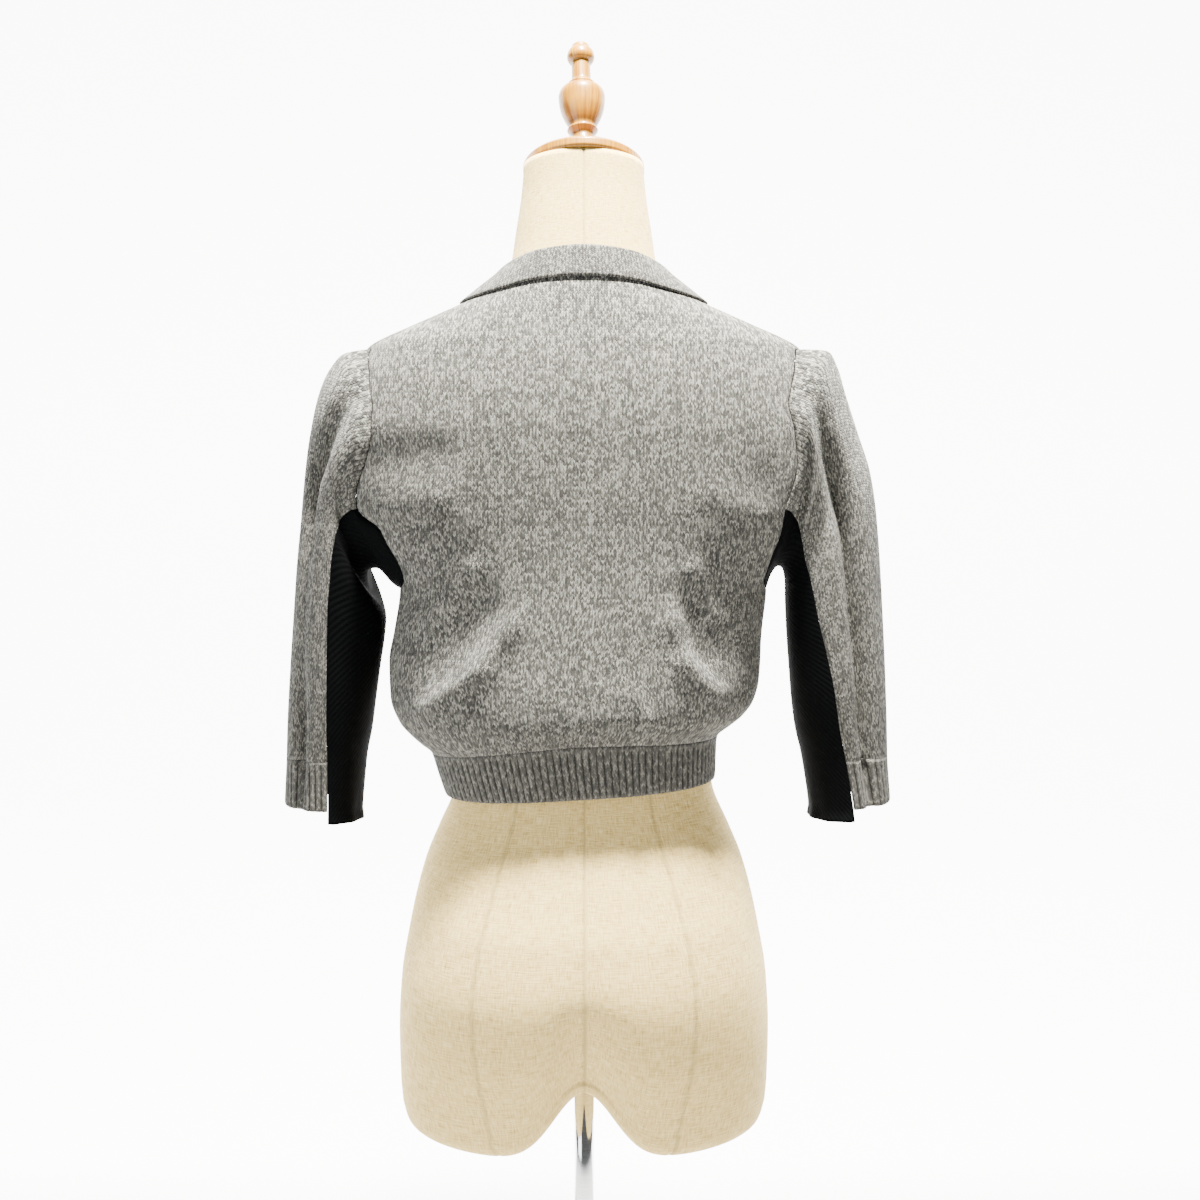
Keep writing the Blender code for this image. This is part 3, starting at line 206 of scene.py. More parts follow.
SLEEVE_ROWS = {"left": """
row outer_x outer_z inner_x inner_z centre_y half_depth grey_back grey_front crease_angle crease_depth
0 .195 .979 .172 .77 -.004 .048 110 110 56 0
1 .213 .9775 .178 .775 -.003 .052 112 108 56 .06
2 .2265 .9645 .19 .787 -.002 .054 118 104 56 .14
3 .2365 .942 .1965 .785 -.001 .055 117 100 56 .22
4 .2449 .905 .1931 .768 0 .055 103 97 56 .26
5 .2498 .868 .1822 .753 .001 .054 90 95 57 .24
6 .2533 .83 .1789 .74 .002 .052 85 94 59 .14
7 .257 .795 .1805 .722 .002 .05 85 93 62 .06
8 .261 .745 .184 .7 .001 .048 88 92 65 .04
9 .2645 .7 .188 .672 0 .046 92 91 64 .08
10 .268 .65 .1925 .64 -.002 .043 96 91 62 .18
11 .2695 .617 .197 .617 -.003 .04 101 90 60 .16
12 .272 .5735 .2015 .5705 -.004 .038 106 90 58 .08
13 .2725 .56 .2025 .557 -.004 .038 107 90 57 .06
""", "right": """
row outer_x outer_z inner_x inner_z centre_y half_depth grey_back grey_front crease_angle crease_depth
0 .195 .979 .172 .77 -.004 .048 110 110 56 0
1 .2176 .9805 .1735 .779 -.003 .052 116 108 56 .05
2 .2265 .968 .179 .788 -.002 .054 124 104 56 .12
3 .234 .945 .182 .786 -.001 .055 130 100 57 .2
4 .2455 .91 .1825 .774 0 .055 131 98 58 .25
5 .257 .874 .1825 .758 .001 .054 127 97 60 .26
6 .2622 .842 .183 .74 .002 .052 123 97 62 .26
7 .2657 .805 .184 .722 .002 .05 119 98 64 .26
8 .2692 .755 .186 .697 .001 .048 112 99 67 .26
9 .2722 .705 .1885 .668 0 .046 105 100 70 .25
10 .275 .65 .1925 .64 -.002 .043 101 102 73 .24
11 .2762 .617 .198 .617 -.003 .04 98 102 75 .2
12 .2795 .575 .2055 .5705 -.004 .038 94 103 77 .14
13 .28 .5615 .2065 .558 -.004 .038 93 103 78 .12
"""}
CREASE_WIDTH = 11.0          # degrees from a sleeve crease's middle to its shoulder
CREASE_DEPTH = 1.5           # times the tables' crease depths

# Folds of the body: a ridge (or a trough, with a negative height) between two places.
FOLD_ROWS = """
angle_a level_a angle_b level_b width height
61 .674 40 .707 .011 .005  # back, left: ridge from the waist up
40 .707 31 .742 .013 .0036
31 .742 33 .772 .014 .0014
58 .718 46 .752 .024 -.0062  # pocket outside it
61 .745 47 .79 .01 .0034
-57 .676 -46 .707 .011 .0048  # back, right
-46 .707 -40 .745 .013 .0034
-40 .745 -36 .782 .014 .0014
-55 .72 -50 .756 .022 -.0056
-57 .748 -46 .789 .01 .003
73 .88 56 .888 .015 -.0026  # drag lines at the armholes
66 .842 55 .85 .013 .003
68 .806 48 .826 .011 .0012
-64 .846 -63 .868 .014 -.0024
-62 .838 -50 .852 .013 .0022
-68 .812 -52 .822 .011 .001
20 .655 17 .69 .009 .0018  # small gathers above the waist rib
-12 .652 -15 .684 .008 .0016
2 .65 4 .672 .007 .0012
-32 .652 -27 .68 .008 .0018
150 .79 154 .68 .014 .0035  # fronts: soft drapes below the bust
132 .78 140 .672 .014 -.0045
-149 .795 -152 .685 .014 .003
-130 .775 -139 .676 .015 -.005
112 .842 126 .862 .01 .003
-113 .838 -128 .856 .01 .0035
"""

# The collar behind the neck and over the shoulders. The fall is the free outer edge.
COLLAR_BACK_ROWS = """
angle fall_angle fall_level stand lift
0 0 1.0306 .0189 .0021
18 18 1.0306 .0185 .0021
36 35 1.0298 .018 .002
54 53 1.026 .0143 .0019
72 70 1.0225 .0098 .0018
90 88 1.0212 .0085 .0018
104 99 1.0212 .008 .002
"""
# The collar down the V neckline, by the level of the front's edge.
COLLAR_FRONT_ROWS = """
level fall_angle fall_level stand lift
.876 171.7 .873 0 .0026
.896 161.1 .8877 0 .0026
.918 152.4 .9063 0 .0027
.942 145.8 .929 0 .0028
.965 140.3 .9518 0 .0029
.985 135.1 .9718 .001 .003
1.003 129.5 .9901 .003 .0031
1.017 122.5 1.005 .005 .0032
1.028 113 1.0165 .0066 .0033
1.036 104 1.0205 .0078 .0033
"""

# Turned profiles: distance along the axis and radius.
CAP_PROFILE = ((0.0000, 0.0500), (0.0004, 0.0530), (0.0030, 0.0550), (0.0075, 0.0550),
               (0.0100, 0.0535), (0.0160, 0.0430), (0.0205, 0.0300), (0.0230, 0.0170))
FINIAL_PROFILE = ((0.0237, 0.0150), (0.0265, 0.0160), (0.0300, 0.0135), (0.0400, 0.0105),
                  (0.0440, 0.0125), (0.0465, 0.0142), (0.0490, 0.0125), (0.0510, 0.0130),
                  (0.0600, 0.0175), (0.0700, 0.0205), (0.0800, 0.0215), (0.0860, 0.0200),
                  (0.0890, 0.0165), (0.0905, 0.0125), (0.0935, 0.0130), (0.0960, 0.0100),
                  (0.0990, 0.0088), (0.1160, 0.0086), (0.1185, 0.0115), (0.1225, 0.0128),
                  (0.1275, 0.0118), (0.1310, 0.0090), (0.1345, 0.0078), (0.1360, 0.0050))
BASE_PROFILE = ((0.0, 0.150), (0.004, 0.150), (0.008, 0.145), (0.0115, 0.060),
                (0.0150, 0.030), (0.0260, 0.0185), (0.0300, 0.0165))


# ---- reading the tables

def monotone_slopes(x, y):
    """Slopes of a smooth curve through the points that never swings past them."""
    steps = np.diff(y) / np.diff(x)
    slopes = np.concatenate(([steps[0]], np.zeros(len(y) - 2), [steps[-1]]))
    for i in range(1, len(y) - 1):
        before, after = steps[i - 1], steps[i]
        if before * after > 0:
            slopes[i] = 2 * before * after / (before + after)
    return slopes


def read_rows(text):
    """A table's line of column names, and its rows of numbers."""
    head, *lines = [line.split("#")[0] for line in text.strip().splitlines()]
    return head, [[float(word) for word in line.split()] for line in lines]


class Table:
    """Rows with named columns, read as smooth curves along the first column."""

    def __init__(self, columns, rows):
        data = np.array(rows, dtype=float)
        self.x = data[:, 0]
        self.curves = {name: (y, monotone_slopes(self.x, y))
                       for name, y in zip(columns.split()[1:], data.T[1:])}

    def read(self, name, x):
        y, slopes = self.curves[name]
        x = np.clip(x, self.x[0], self.x[-1])
        i = np.clip(np.searchsorted(self.x, x, side="right") - 1, 0, len(self.x) - 2)
        span = self.x[i + 1] - self.x[i]
        t = (x - self.x[i]) / span
        rise = y[i + 1] - y[i]
        bend_a = slopes[i] * span - rise
        bend_b = rise - slopes[i + 1] * span
        return y[i] + t * rise + t * (1 - t) * ((1 - t) * bend_a + t * bend_b)


BODY, FORM, COLLAR_BACK, COLLAR_FRONT = (Table(*read_rows(rows)) for rows in (
    BODY_ROWS, FORM_ROWS, COLLAR_BACK_ROWS, COLLAR_FRONT_ROWS))
SLEEVES = {side: Table(*read_rows(rows)) for side, rows in SLEEVE_ROWS.items()}
FOLDS = read_rows(FOLD_ROWS)[1]
SIDES = {"left": 1, "right": -1}


# ---- the body's surface

SEAT_CLEFT = 0.0065          # depth of the soft hollow down the middle of the seat
SEAT_CLEFT_SPREAD = 13.0
SEAT_LEVEL = 0.375
SEAT_REACH = 0.060

BUST_ANGLE = 147.0
BUST_SPREAD = 20.0


def ring(table, angle, level):
    """The plan view of a ring of the body: how far out and how far back each point lies."""
    turn = np.radians(angle)
    out, back = np.sin(turn), np.cos(turn)
    width = table.read("half_width", level)
    depth = np.where(back > 0, table.read("back", level), table.read("front", level))
    power = table.read("squareness", level)
    reach = (np.abs(out / width) ** power + np.abs(back / depth) ** power) ** (-1 / power)
    bust = np.exp(-((np.abs(angle) - BUST_ANGLE) / BUST_SPREAD) ** 2)
    reach = reach + table.read("bust", level) * bust
    return reach * out, reach * back


def folds(angle, level):
    """Height of the cloth's folds above the smooth body."""
    height = np.zeros(np.broadcast(angle, level).shape)
    for angle_a, level_a, angle_b, level_b, width, size in FOLDS:
        start = np.array((angle_a * ARC_PER_DEGREE, level_a))
        run = np.array((angle_b * ARC_PER_DEGREE, level_b)) - start
        across = angle * ARC_PER_DEGREE - start[0]
        up = level - start[1]
        along = np.clip((across * run[0] + up * run[1]) / (run @ run), 0, 1)
        apart = np.hypot(across - along * run[0], up - along * run[1])
        height = height + size * np.exp(-(apart / width) ** 2)
    return height


def body_point(angle, level):
    """A point of the jacket's outer surface."""
    angle, level = np.broadcast_arrays(np.asarray(angle, float), np.asarray(level, float))
    out, back = ring(BODY, angle, level)
    turn = np.radians(angle)
    swell = folds(angle, level)
    rise = np.where(np.cos(turn) > 0, BODY.read("back_rise", level),
                    BODY.read("front_rise", level)) * np.cos(turn) ** 2
    out = out + swell * np.sin(turn) + BODY.read("sway", level)
    up = level + rise - BODY.read("roll", level) * out
    return together(out, back + swell * np.cos(turn), up)


def form_point(angle, level):
    """A point of the dress form's surface, with the arch between the lobes."""
    angle, level = np.broadcast_arrays(np.asarray(angle, float), np.asarray(level, float))
    out, back = ring(FORM, angle, level)
    cleft = SEAT_CLEFT * np.exp(-(angle / SEAT_CLEFT_SPREAD) ** 2)
    cleft = cleft * np.exp(-((level - SEAT_LEVEL) / SEAT_REACH) ** 2)
    back = back - cleft
    middle = (FORM.read("back", level) - FORM.read("front", level)) / 2
    up = level + FORM.read("tilt", level) * (back - middle)
    return together(out, back, notched(out, up))


def notched(out, up):
    """Heights lifted over the arch that runs from front to back under the form."""
    fade = np.clip((NOTCH_FADE_LEVEL - up) / (NOTCH_FADE_LEVEL - FORM_BOTTOM), 0, 1) ** 1.5
    return up + NOTCH_RISE * fade * np.exp(-(out / NOTCH_WIDTH) ** 2)


def unit(vectors):
    return vectors / np.linalg.norm(vectors, axis=-1, keepdims=True)


def distances(line):
    """How far along a line of points each of them lies."""
    steps = np.linalg.norm(np.diff(line, axis=0), axis=1)
    return np.concatenate(([0.0], np.cumsum(steps)))


def row_distances(grid):
    """How far each row of a grid of points lies from its first, on average."""
    steps = np.linalg.norm(np.diff(grid, axis=0), axis=2).mean(axis=1)
    return np.concatenate(([0.0], np.cumsum(steps)))


def together(*values):
    """Coordinates put together into points, along a new last axis."""
    return np.stack(np.broadcast_arrays(*values), axis=-1)


def surface_normals(surface, first, second, step_first, step_second):
    """Outward normals of a surface, from two short steps along its coordinates."""
    along_first = surface(first + step_first, second) - surface(first - step_first, second)
    along_second = surface(first, second + step_second) - surface(first, second - step_second)
    return unit(np.cross(along_second, along_first))


def body_normal(angle, level):
    level = np.clip(level, HEM_LEVEL + 0.001, NECK_LEVEL - 0.001)
    return surface_normals(body_point, np.asarray(angle, float), level, 0.5, 0.001)


def angle_at(out, level, front):
    """The body angle of the point that lies this far out from the centre."""
    width = BODY.read("half_width", level)
    depth = BODY.read("front" if front else "back", level)
    power = BODY.read("squareness", level)
    share = np.minimum(1.0, out / width)
    away = depth * (1 - share ** power) ** (1 / power)
    angle = np.degrees(np.arctan2(share * width, away))
    return 180 - angle if front else angle


def shoulder_seam_angle(level):
    """The shoulder seam runs parallel to the shoulder's ridge, a little behind it."""
    depth = BODY.read("back", level)
    power = BODY.read("squareness", level)
    out = BODY.read("half_width", level) * (
        1 - (SHOULDER_SEAM_BEHIND / depth) ** power) ** (1 / power)
    return np.degrees(np.arctan2(out, SHOULDER_SEAM_BEHIND))


def armhole_table(column):
    """The armhole as a curve of body angles and levels, along the sleeve angle."""
    rows = []
    for row in read_rows(ARMHOLE_ROWS)[1]:
        sleeve_angle, level, out = row[0], row[1], row[column]
        if sleeve_angle == SHOULDER_SEAM_ANGLE:
            body_angle = shoulder_seam_angle(level)
        else:
            body_angle = angle_at(out, level, front=sleeve_angle < 0)
        rows.append((sleeve_angle, level, body_angle))
    return Table("sleeve_angle level body_angle", rows)


ARMHOLES = {"left": armhole_table(2), "right": armhole_table(3)}


# ---- the sleeves' surface
# Both sleeves are worked out on the +X side; the right one is mirrored when it is built.

def armhole_point(side, sleeve_angle):
    table = ARMHOLES[side]
    body_angle = table.read("body_angle", sleeve_angle)
    level = table.read("level", sleeve_angle)
    return body_point(SIDES[side] * body_angle, level) * (SIDES[side], 1, 1)


def ellipse_angle(side, sleeve_angle, row):
    """Turns a sleeve angle, which keeps to the seams, into the angle on the row's ellipse."""
    table = SLEEVES[side]
    back, front = table.read("grey_back", row), table.read("grey_front", row)
    top_share = (sleeve_angle + GREY_EDGE_ANGLE) / (2 * GREY_EDGE_ANGLE)
    under_share = (sleeve_angle - GREY_EDGE_ANGLE) / (360 - 2 * GREY_EDGE_ANGLE)
    return np.where(sleeve_angle <= GREY_EDGE_ANGLE, -front + (back + front) * top_share,
                    back + (360 - back - front) * under_share)


def sleeve_ellipse(side, sleeve_angle, row):
    table = SLEEVES[side]
    turn = np.radians(ellipse_angle(side, sleeve_angle, row))
    outer = together(table.read("outer_x", row), table.read("outer_z", row))
    inner = together(table.read("inner_x", row), table.read("inner_z", row))
    middle, half = (outer + inner) / 2, (outer - inner) / 2
    crease = np.exp(-((sleeve_angle - table.read("crease_angle", row)) / CREASE_WIDTH) ** 2)
    size = 1 - CREASE_DEPTH * table.read("crease_depth", row) * crease
    flat = middle + half * (np.cos(turn) * size)[..., None]
    deep = table.read("centre_y", row) + table.read("half_depth", row) * np.sin(turn) * size
    return together(flat[..., 0], deep, flat[..., 1])


def sleeve_point(side, sleeve_angle, row):
    """A point of a sleeve's outer surface; near the armhole it takes the armhole's shape."""
    sleeve_angle, row = np.broadcast_arrays(np.asarray(sleeve_angle, float),
                                            np.asarray(row, float))
    from_seam = (sleeve_angle + GREY_EDGE_ANGLE) % 360 - GREY_EDGE_ANGLE
    wrapped = (sleeve_angle + 180) % 360 - 180
    start = armhole_point(side, wrapped) - sleeve_ellipse(side, from_seam, 0 * row)
    fade = np.clip(1 - row / ARMHOLE_FADE_ROWS, 0, 1)[..., None]
    point = sleeve_ellipse(side, from_seam, row) + start * fade
    tuck = ARMPIT_TUCK[side] * np.exp(-((from_seam - TUCK_ANGLE) / TUCK_SPREAD) ** 2)
    point[..., 1] -= tuck * np.sin(np.pi * np.clip(row / TUCK_ROWS, 0, 1)) ** 2
    return point


def sleeve_normal(side, sleeve_angle, row):
    row = np.clip(row, 0.05, SLEEVE_HEM_ROW - 0.05)
    surface = partial(sleeve_point, side)
    return surface_normals(surface, np.asarray(sleeve_angle, float), row, 1.0, 0.05)


def v_edge(level):
    """Half width of the front opening at a level."""
    share = np.clip((level - BREAK_LEVEL) / (NECK_LEVEL - BREAK_LEVEL), 0, 1)
    return FRONT_GAP + (V_HALF_WIDTH - FRONT_GAP) * share


def front_edge_angle(level):
    return angle_at(v_edge(level), level, front=True)


# ---- sizes of the knit

WALE = 0.0029                # width of a knitted column
COURSE = 0.0022              # height of a knitted row
WALE_STEPS = 4               # columns of the mesh in each wale
WALE_PROFILE = np.array((-0.00018, 0.00010, 0.0, 0.00010))
RIB_STEPS = 8                # columns of the mesh in each rib
ROW_STEP = 0.0040            # height of the mesh's rows
EDGE_GAP = 0.0002            # each piece stops this far short of its seam line
EDGE_WALL = 0.0007           # the cloth thins to this where it is sewn
SEAM_DIP = 0.0005            # depth of the hollow along a seam
SEAM_REACH = 0.0028
RIB_DEPTH = 0.0013
RIB_FADE = 0.15              # share of a band's height over which its channels fade in
RIM_DIP = 0.0006             # the free lower edge of a band draws in by this
BAND_ROWS = 15
HEM_FLARE = 0.0016           # the black hem rolls out by this
HEM_RIPPLE = 0.0006
STITCH_PITCH = 0.0046        # distance between the linking stitches at a seam
JERSEY_RIB = 0.0036          # pitch of the black cloth's slanting ribs
LINEN_THREAD = 0.0011
PLY_SHARE = 0.62             # weights of what makes the marl's flecks
FIBRE_SHARE = 0.60
PATCH_SHARE = 0.08
GATHER_LEVEL = 0.7000        # below this the wales gather towards the waist
FINE_STEPS = 721             # points of a line that is measured along the cloth


# ---- making meshes

def make_mesh(name, vertices, faces, uv, shade, finish):
    """A smooth mesh with a UV map in metres and a shade value, turned to face outwards."""
    mesh = bpy.data.meshes.new(name)
    mesh.from_pydata(vertices.tolist(), [], faces)
    corners = np.empty(len(mesh.loops), int)
    mesh.loops.foreach_get("vertex_index", corners)
    mesh.uv_layers.new(name="UVMap").data.foreach_set("uv", uv[corners].ravel())
    mesh.attributes.new("shade", "FLOAT", "POINT").data.foreach_set("value", shade)
    mesh.calc_loop_triangles()
    triangles = np.empty(3 * len(mesh.loop_triangles), int)
    mesh.loop_triangles.foreach_get("vertices", triangles)
    a, b, c = vertices[triangles.reshape(-1, 3)].transpose(1, 0, 2)
    if np.sum(a * np.cross(b, c)) < 0:
        mesh.flip_normals()
    mesh.shade_smooth()
    mesh.materials.append(finish)
    made = bpy.data.objects.new(name, mesh)
    bpy.context.scene.collection.objects.link(made)
    return made


def quads(corner_a, corner_b, corner_c, corner_d):
    """Faces from four arrays of vertex numbers; where two corners meet they are triangles."""
    four = np.stack([corner.ravel() for corner in (corner_a, corner_b, corner_c, corner_d)], 1)
    first = four[:, 0] == four[:, 1]
    second = four[:, 2] == four[:, 3]
    faces = four[~first & ~second].tolist()
    faces += four[first & ~second][:, (0, 2, 3)].tolist()
    return faces + four[~first & second][:, (0, 1, 2)].tolist()


def shell(name, outer, inner, uv, shade, finish, step, ends=None, mirror=False):
    """A closed sheet from grids of outer and inner points.

    ends holds each row's first and last column; the inside takes every step-th column only.
    """
    rows, columns = outer.shape[:2]
    first, last = ends if ends else (np.zeros(rows, int), np.full(rows, columns - 1))
    starts = np.arange(rows)[:, None] * columns
    column = np.clip(np.arange(columns), first[:, None], last[:, None])
    out = starts + column
    coarse = np.unique(np.append(np.arange(0, columns, step), columns - 1))
    back = rows * columns + out[:, coarse]
    faces = quads(out[:-1, :-1], out[:-1, 1:], out[1:, 1:], out[1:, :-1])
    faces += quads(back[1:, :-1], back[1:, 1:], back[:-1, 1:], back[:-1, :-1])
    for side in (0, -1):
        ring = np.stack((out[:-1, side], out[1:, side], back[1:, side], back[:-1, side]), 1)
        faces += (ring[:, ::-1] if side else ring).tolist()
    for row in (0, rows - 1):
        for i in range(len(coarse) - 1):
            a, b = column[row, coarse[i]], column[row, coarse[i + 1]]
            if a == b:
                continue
            face = list(range(out[row, coarse[i]], out[row, coarse[i + 1]] + 1))
            face += [back[row, i + 1], back[row, i]]
            faces.append(face[::-1] if row == 0 else face)
    points = np.concatenate((outer.reshape(-1, 3), inner.reshape(-1, 3)))
    if mirror:
        points = points * (-1, 1, 1)
    uv = np.tile(uv.reshape(-1, 2), (2, 1))
    shade = np.tile(shade.ravel(), 2)
    used = np.unique(np.concatenate([np.array(face) for face in faces]))
    number = np.zeros(len(points), int)
    number[used] = np.arange(len(used))
    faces = [number[face].tolist() for face in faces]
    return make_mesh(name, points[used], faces, uv[used], shade[used], finish)


def seam_shape(along_u, along_v):
    """How close each point lies to its piece's edges: 1 on an edge, 0 away from all."""
    nearest = np.minimum(along_u, along_v)
    return np.exp(-(nearest / SEAM_REACH) ** 2)


def dress(name, points, normals, relief, edge, uv, shade, finish, step, ends=None,
          mirror=False, wall=WALL):
    """A sheet of cloth from its surface: relief outside, thinner where it is sewn.

    edge is 1 on the piece's edges and fades inwards; shade marks the seams that show, deepening their
    hollow, and the materials darken their colour by it as painted shade.
    """
    raised = relief * (1 - edge) - SEAM_DIP * np.minimum(edge, shade)
    outer = points + raised[..., None] * normals
    thickness = wall + (EDGE_WALL - wall + SEAM_DIP) * edge
    inner = points - thickness[..., None] * normals
    return shell(name, outer, inner, uv, shade, finish, step, ends, mirror)


# ---- the body of the jacket

def panel_rows(front):
    """Levels of a body panel's rows, and the sleeve angle of those at the armhole."""
    waist = np.linspace(RIB_TOP_LEVEL + EDGE_GAP, 0.660, 12)
    lower = np.arange(0.6635, UNDERARM_LEVEL - ROW_STEP / 2, ROW_STEP)
    start = -180 if front else 180
    angles = np.linspace(start, SHOULDER_SEAM_ANGLE, 64)
    rows = [(level, None) for level in np.concatenate((waist, lower))]
    rows += [(float(ARMHOLES["left"].read("level", angle)), angle) for angle in angles]
    rows += [(level, None) for level in np.linspace(0.9825, NECK_LEVEL, 30)]
    return rows


def side_edge(side, level, sleeve_angle):
    """Body angle of a panel's side edge: side seam, armhole or shoulder seam."""
    if sleeve_angle is not None:
        return float(ARMHOLES[side].read("body_angle", sleeve_angle))
    if level < UNDERARM_LEVEL:
        return 90.0
    return float(shoulder_seam_angle(level))


def smooth_point(angle, level):
    """A point of the jacket's outer surface without its folds."""
    return together(*ring(BODY, angle, level), level)


def arc_lengths(start, level):
    """Body angles from the start round to the other end, and their distance along the cloth."""
    angles = np.linspace(0, 180, FINE_STEPS)
    turned_angles = start - np.sign(start - 0.5) * angles
    return angles, distances(smooth_point(turned_angles, level))


def body_panel(name, rows, edges, start, sign, finish):
    """A panel whose columns follow the wales from its centre line.

    start is the centre line's body angle, 0 or 180. edges are the distances in degrees from it
    to the panel's two edges, and sign is +1 where they are counted to the wearer's left.
    """
    levels = np.array([level for level, _ in rows])
    places, spans = [], []
    pitch = WALE / WALE_STEPS
    for level, (near, far) in zip(levels, edges):
        angles, lengths = arc_lengths(start, max(level, GATHER_LEVEL))
        both = np.concatenate((-angles[:0:-1], angles))
        run = np.concatenate((-lengths[:0:-1], lengths))
        low = np.interp(near, both, run) + EDGE_GAP
        high = np.interp(far, both, run) - EDGE_GAP
        places.append((both, run))
        spans.append((low, high))
    low, high = np.array(spans).T
    least = int(np.floor(low.min() / pitch)) - 1
    most = int(np.ceil(high.max() / pitch)) + 1
    numbers = np.arange(least, most + 1)
    first = np.round(low / pitch).astype(int) - least
    last = np.round(high / pitch).astype(int) - least
    column = np.arange(len(numbers))
    u = np.clip(numbers * pitch, low[:, None], high[:, None])
    u = np.where(column <= first[:, None], low[:, None], u)
    u = np.where(column >= last[:, None], high[:, None], u)
    turn = np.array([np.interp(row, run, both) for row, (both, run) in zip(u, places)])
    angle = start + sign * turn if start == 0 else sign * (start - turn)
    level = np.broadcast_to(levels[:, None], angle.shape)
    points, normals = body_point(angle, level), body_normal(angle, level)
    climb = distances(smooth_point(float(start), levels))
    sides = np.maximum(np.minimum(u - low[:, None], high[:, None] - u), 0)
    along = np.minimum(climb, climb[-1] - climb)[:, None]
    edge, seam = seam_shape(sides, along), seam_shape(sides, sides)
    relief = np.broadcast_to(WALE_PROFILE[numbers % WALE_STEPS], u.shape)
    uv = together(u, climb[:, None])
    return dress(name, points, normals, relief, edge, uv, seam, finish, WALE_STEPS,
                 ends=(first, last))


def build_back(finish):
    rows = panel_rows(front=False)
    edges = [(-side_edge("right", level, angle), side_edge("left", level, angle))
             for level, angle in rows]
    return body_panel("knit_back", rows, edges, 0, 1, finish)


def build_front(side, finish):
    rows = panel_rows(front=True)
    edges = [(180 - float(front_edge_angle(level)), 180 - side_edge(side, level, angle))
             for level, angle in rows]
    return body_panel("knit_front_" + side, rows, edges, 180, SIDES[side], finish)


def build_hem_rib(name, first, last, ribs, finish):
    """The waist rib between two body angles, with ribs of one width."""
    fine = np.linspace(first, last, FINE_STEPS)
    run = distances(body_point(fine, (HEM_LEVEL + RIB_TOP_LEVEL) / 2))
    places = np.linspace(EDGE_GAP, run[-1] - EDGE_GAP, ribs * RIB_STEPS + 1)
    angles = np.interp(places, run, fine)
    share = np.linspace(0, 1, BAND_ROWS)
    height = RIB_TOP_LEVEL - EDGE_GAP - HEM_LEVEL
    return rib_band(name, body_point, body_normal, angles, HEM_LEVEL + height * share, share,
                    share * height, finish)


def rib_band(name, surface, normal, places, rows, share, climb, finish, mirror=False):
    """A ribbed band: rounded ribs with channels that fade in below its upper edge."""
    place, row = np.meshgrid(places, rows)
    phase = (np.arange(len(places)) % RIB_STEPS) / RIB_STEPS
    channel = (1 - np.sin(np.pi * phase)) ** 1.6
    split = 0.12 * np.exp(-((phase - 0.5) / 0.09) ** 2)
    depth = np.clip((1 - share) / RIB_FADE, 0.25, 1)[:, None]
    relief = -RIB_DEPTH * depth * (channel + split)
    relief = relief - RIM_DIP * np.exp(-share / 0.04)[:, None]
    points, normals = surface(place, row), normal(place, row)
    rim = np.exp(-(share[::-1] * climb[-1] / SEAM_REACH) ** 2)[:, None]
    edge = np.broadcast_to(rim, place.shape)
    number = np.arange(len(places)) / RIB_STEPS * 2 * WALE
    uv = together(number, climb[:, None])
    # Painted shade: the shade value is deepest in the rib channels, and the rib's colour darkens
    # there.
    shade = np.broadcast_to(channel * depth, place.shape)
    return dress(name, points, normals, relief, edge, uv, shade, finish, RIB_STEPS,
                 mirror=mirror, wall=WALL + RIB_DEPTH)


# ---- the sleeves

FIRST_ROW = 0.02             # the sleeves start this far below the armhole
SLEEVE_WALES = 72
UNDER_COLUMNS = 97


def even_rows(side, first, last, count, angle):
    """Sleeve rows at even distances along one of the sleeve's lines."""
    fine = np.linspace(first, last, 400)
    run = distances(sleeve_point(side, float(angle), fine))
    return np.interp(np.linspace(0, run[-1], count), run, fine)


def even_angles(side, row, first, last, count):
    """Sleeve angles at even distances along one of the sleeve's rows."""
    fine = np.linspace(first, last, 361)
    run = distances(sleeve_point(side, fine, row))
    places = np.linspace(EDGE_GAP, run[-1] - EDGE_GAP, count)
    return np.interp(places, run, fine), run[-1]


def sleeve_grid(side, rows, first, last, count):
    angles, widths = zip(*(even_angles(side, row, first, last, count) for row in rows))
    angles = np.array(angles)
    at_row = np.broadcast_to(rows[:, None], angles.shape)
    points, normals = sleeve_point(side, angles, at_row), sleeve_normal(side, angles, at_row)
    climb = row_distances(points)
    return points, normals, climb[-1] - climb, np.array(widths)


def build_sleeve_top(side, finish):
    """The grey outer part of a sleeve; its wales spread out towards the armhole."""
    rows = even_rows(side, FIRST_ROW, SLEEVE_CUFF_ROW, 96, 50)
    count = SLEEVE_WALES * WALE_STEPS + 1
    points, normals, climb, widths = sleeve_grid(side, rows, -GREY_EDGE_ANGLE,
                                                 GREY_EDGE_ANGLE, count)
    number = np.arange(count)
    share = number / (count - 1)
    across = np.minimum(share, 1 - share)[None, :] * widths[:, None]
    along = np.broadcast_to(np.minimum(climb, climb[0] - climb)[:, None], across.shape)
    from_armhole = np.broadcast_to((climb[0] - climb)[:, None], across.shape)
    edge, seam = seam_shape(across, along), seam_shape(across, from_armhole)
    relief = np.broadcast_to(WALE_PROFILE[number % WALE_STEPS], across.shape)
    uv = together(number / WALE_STEPS * WALE, climb[:, None])
    return dress("knit_sleeve_top_" + side, points, normals, relief, edge, uv, seam, finish,
                 WALE_STEPS, mirror=side == "right")


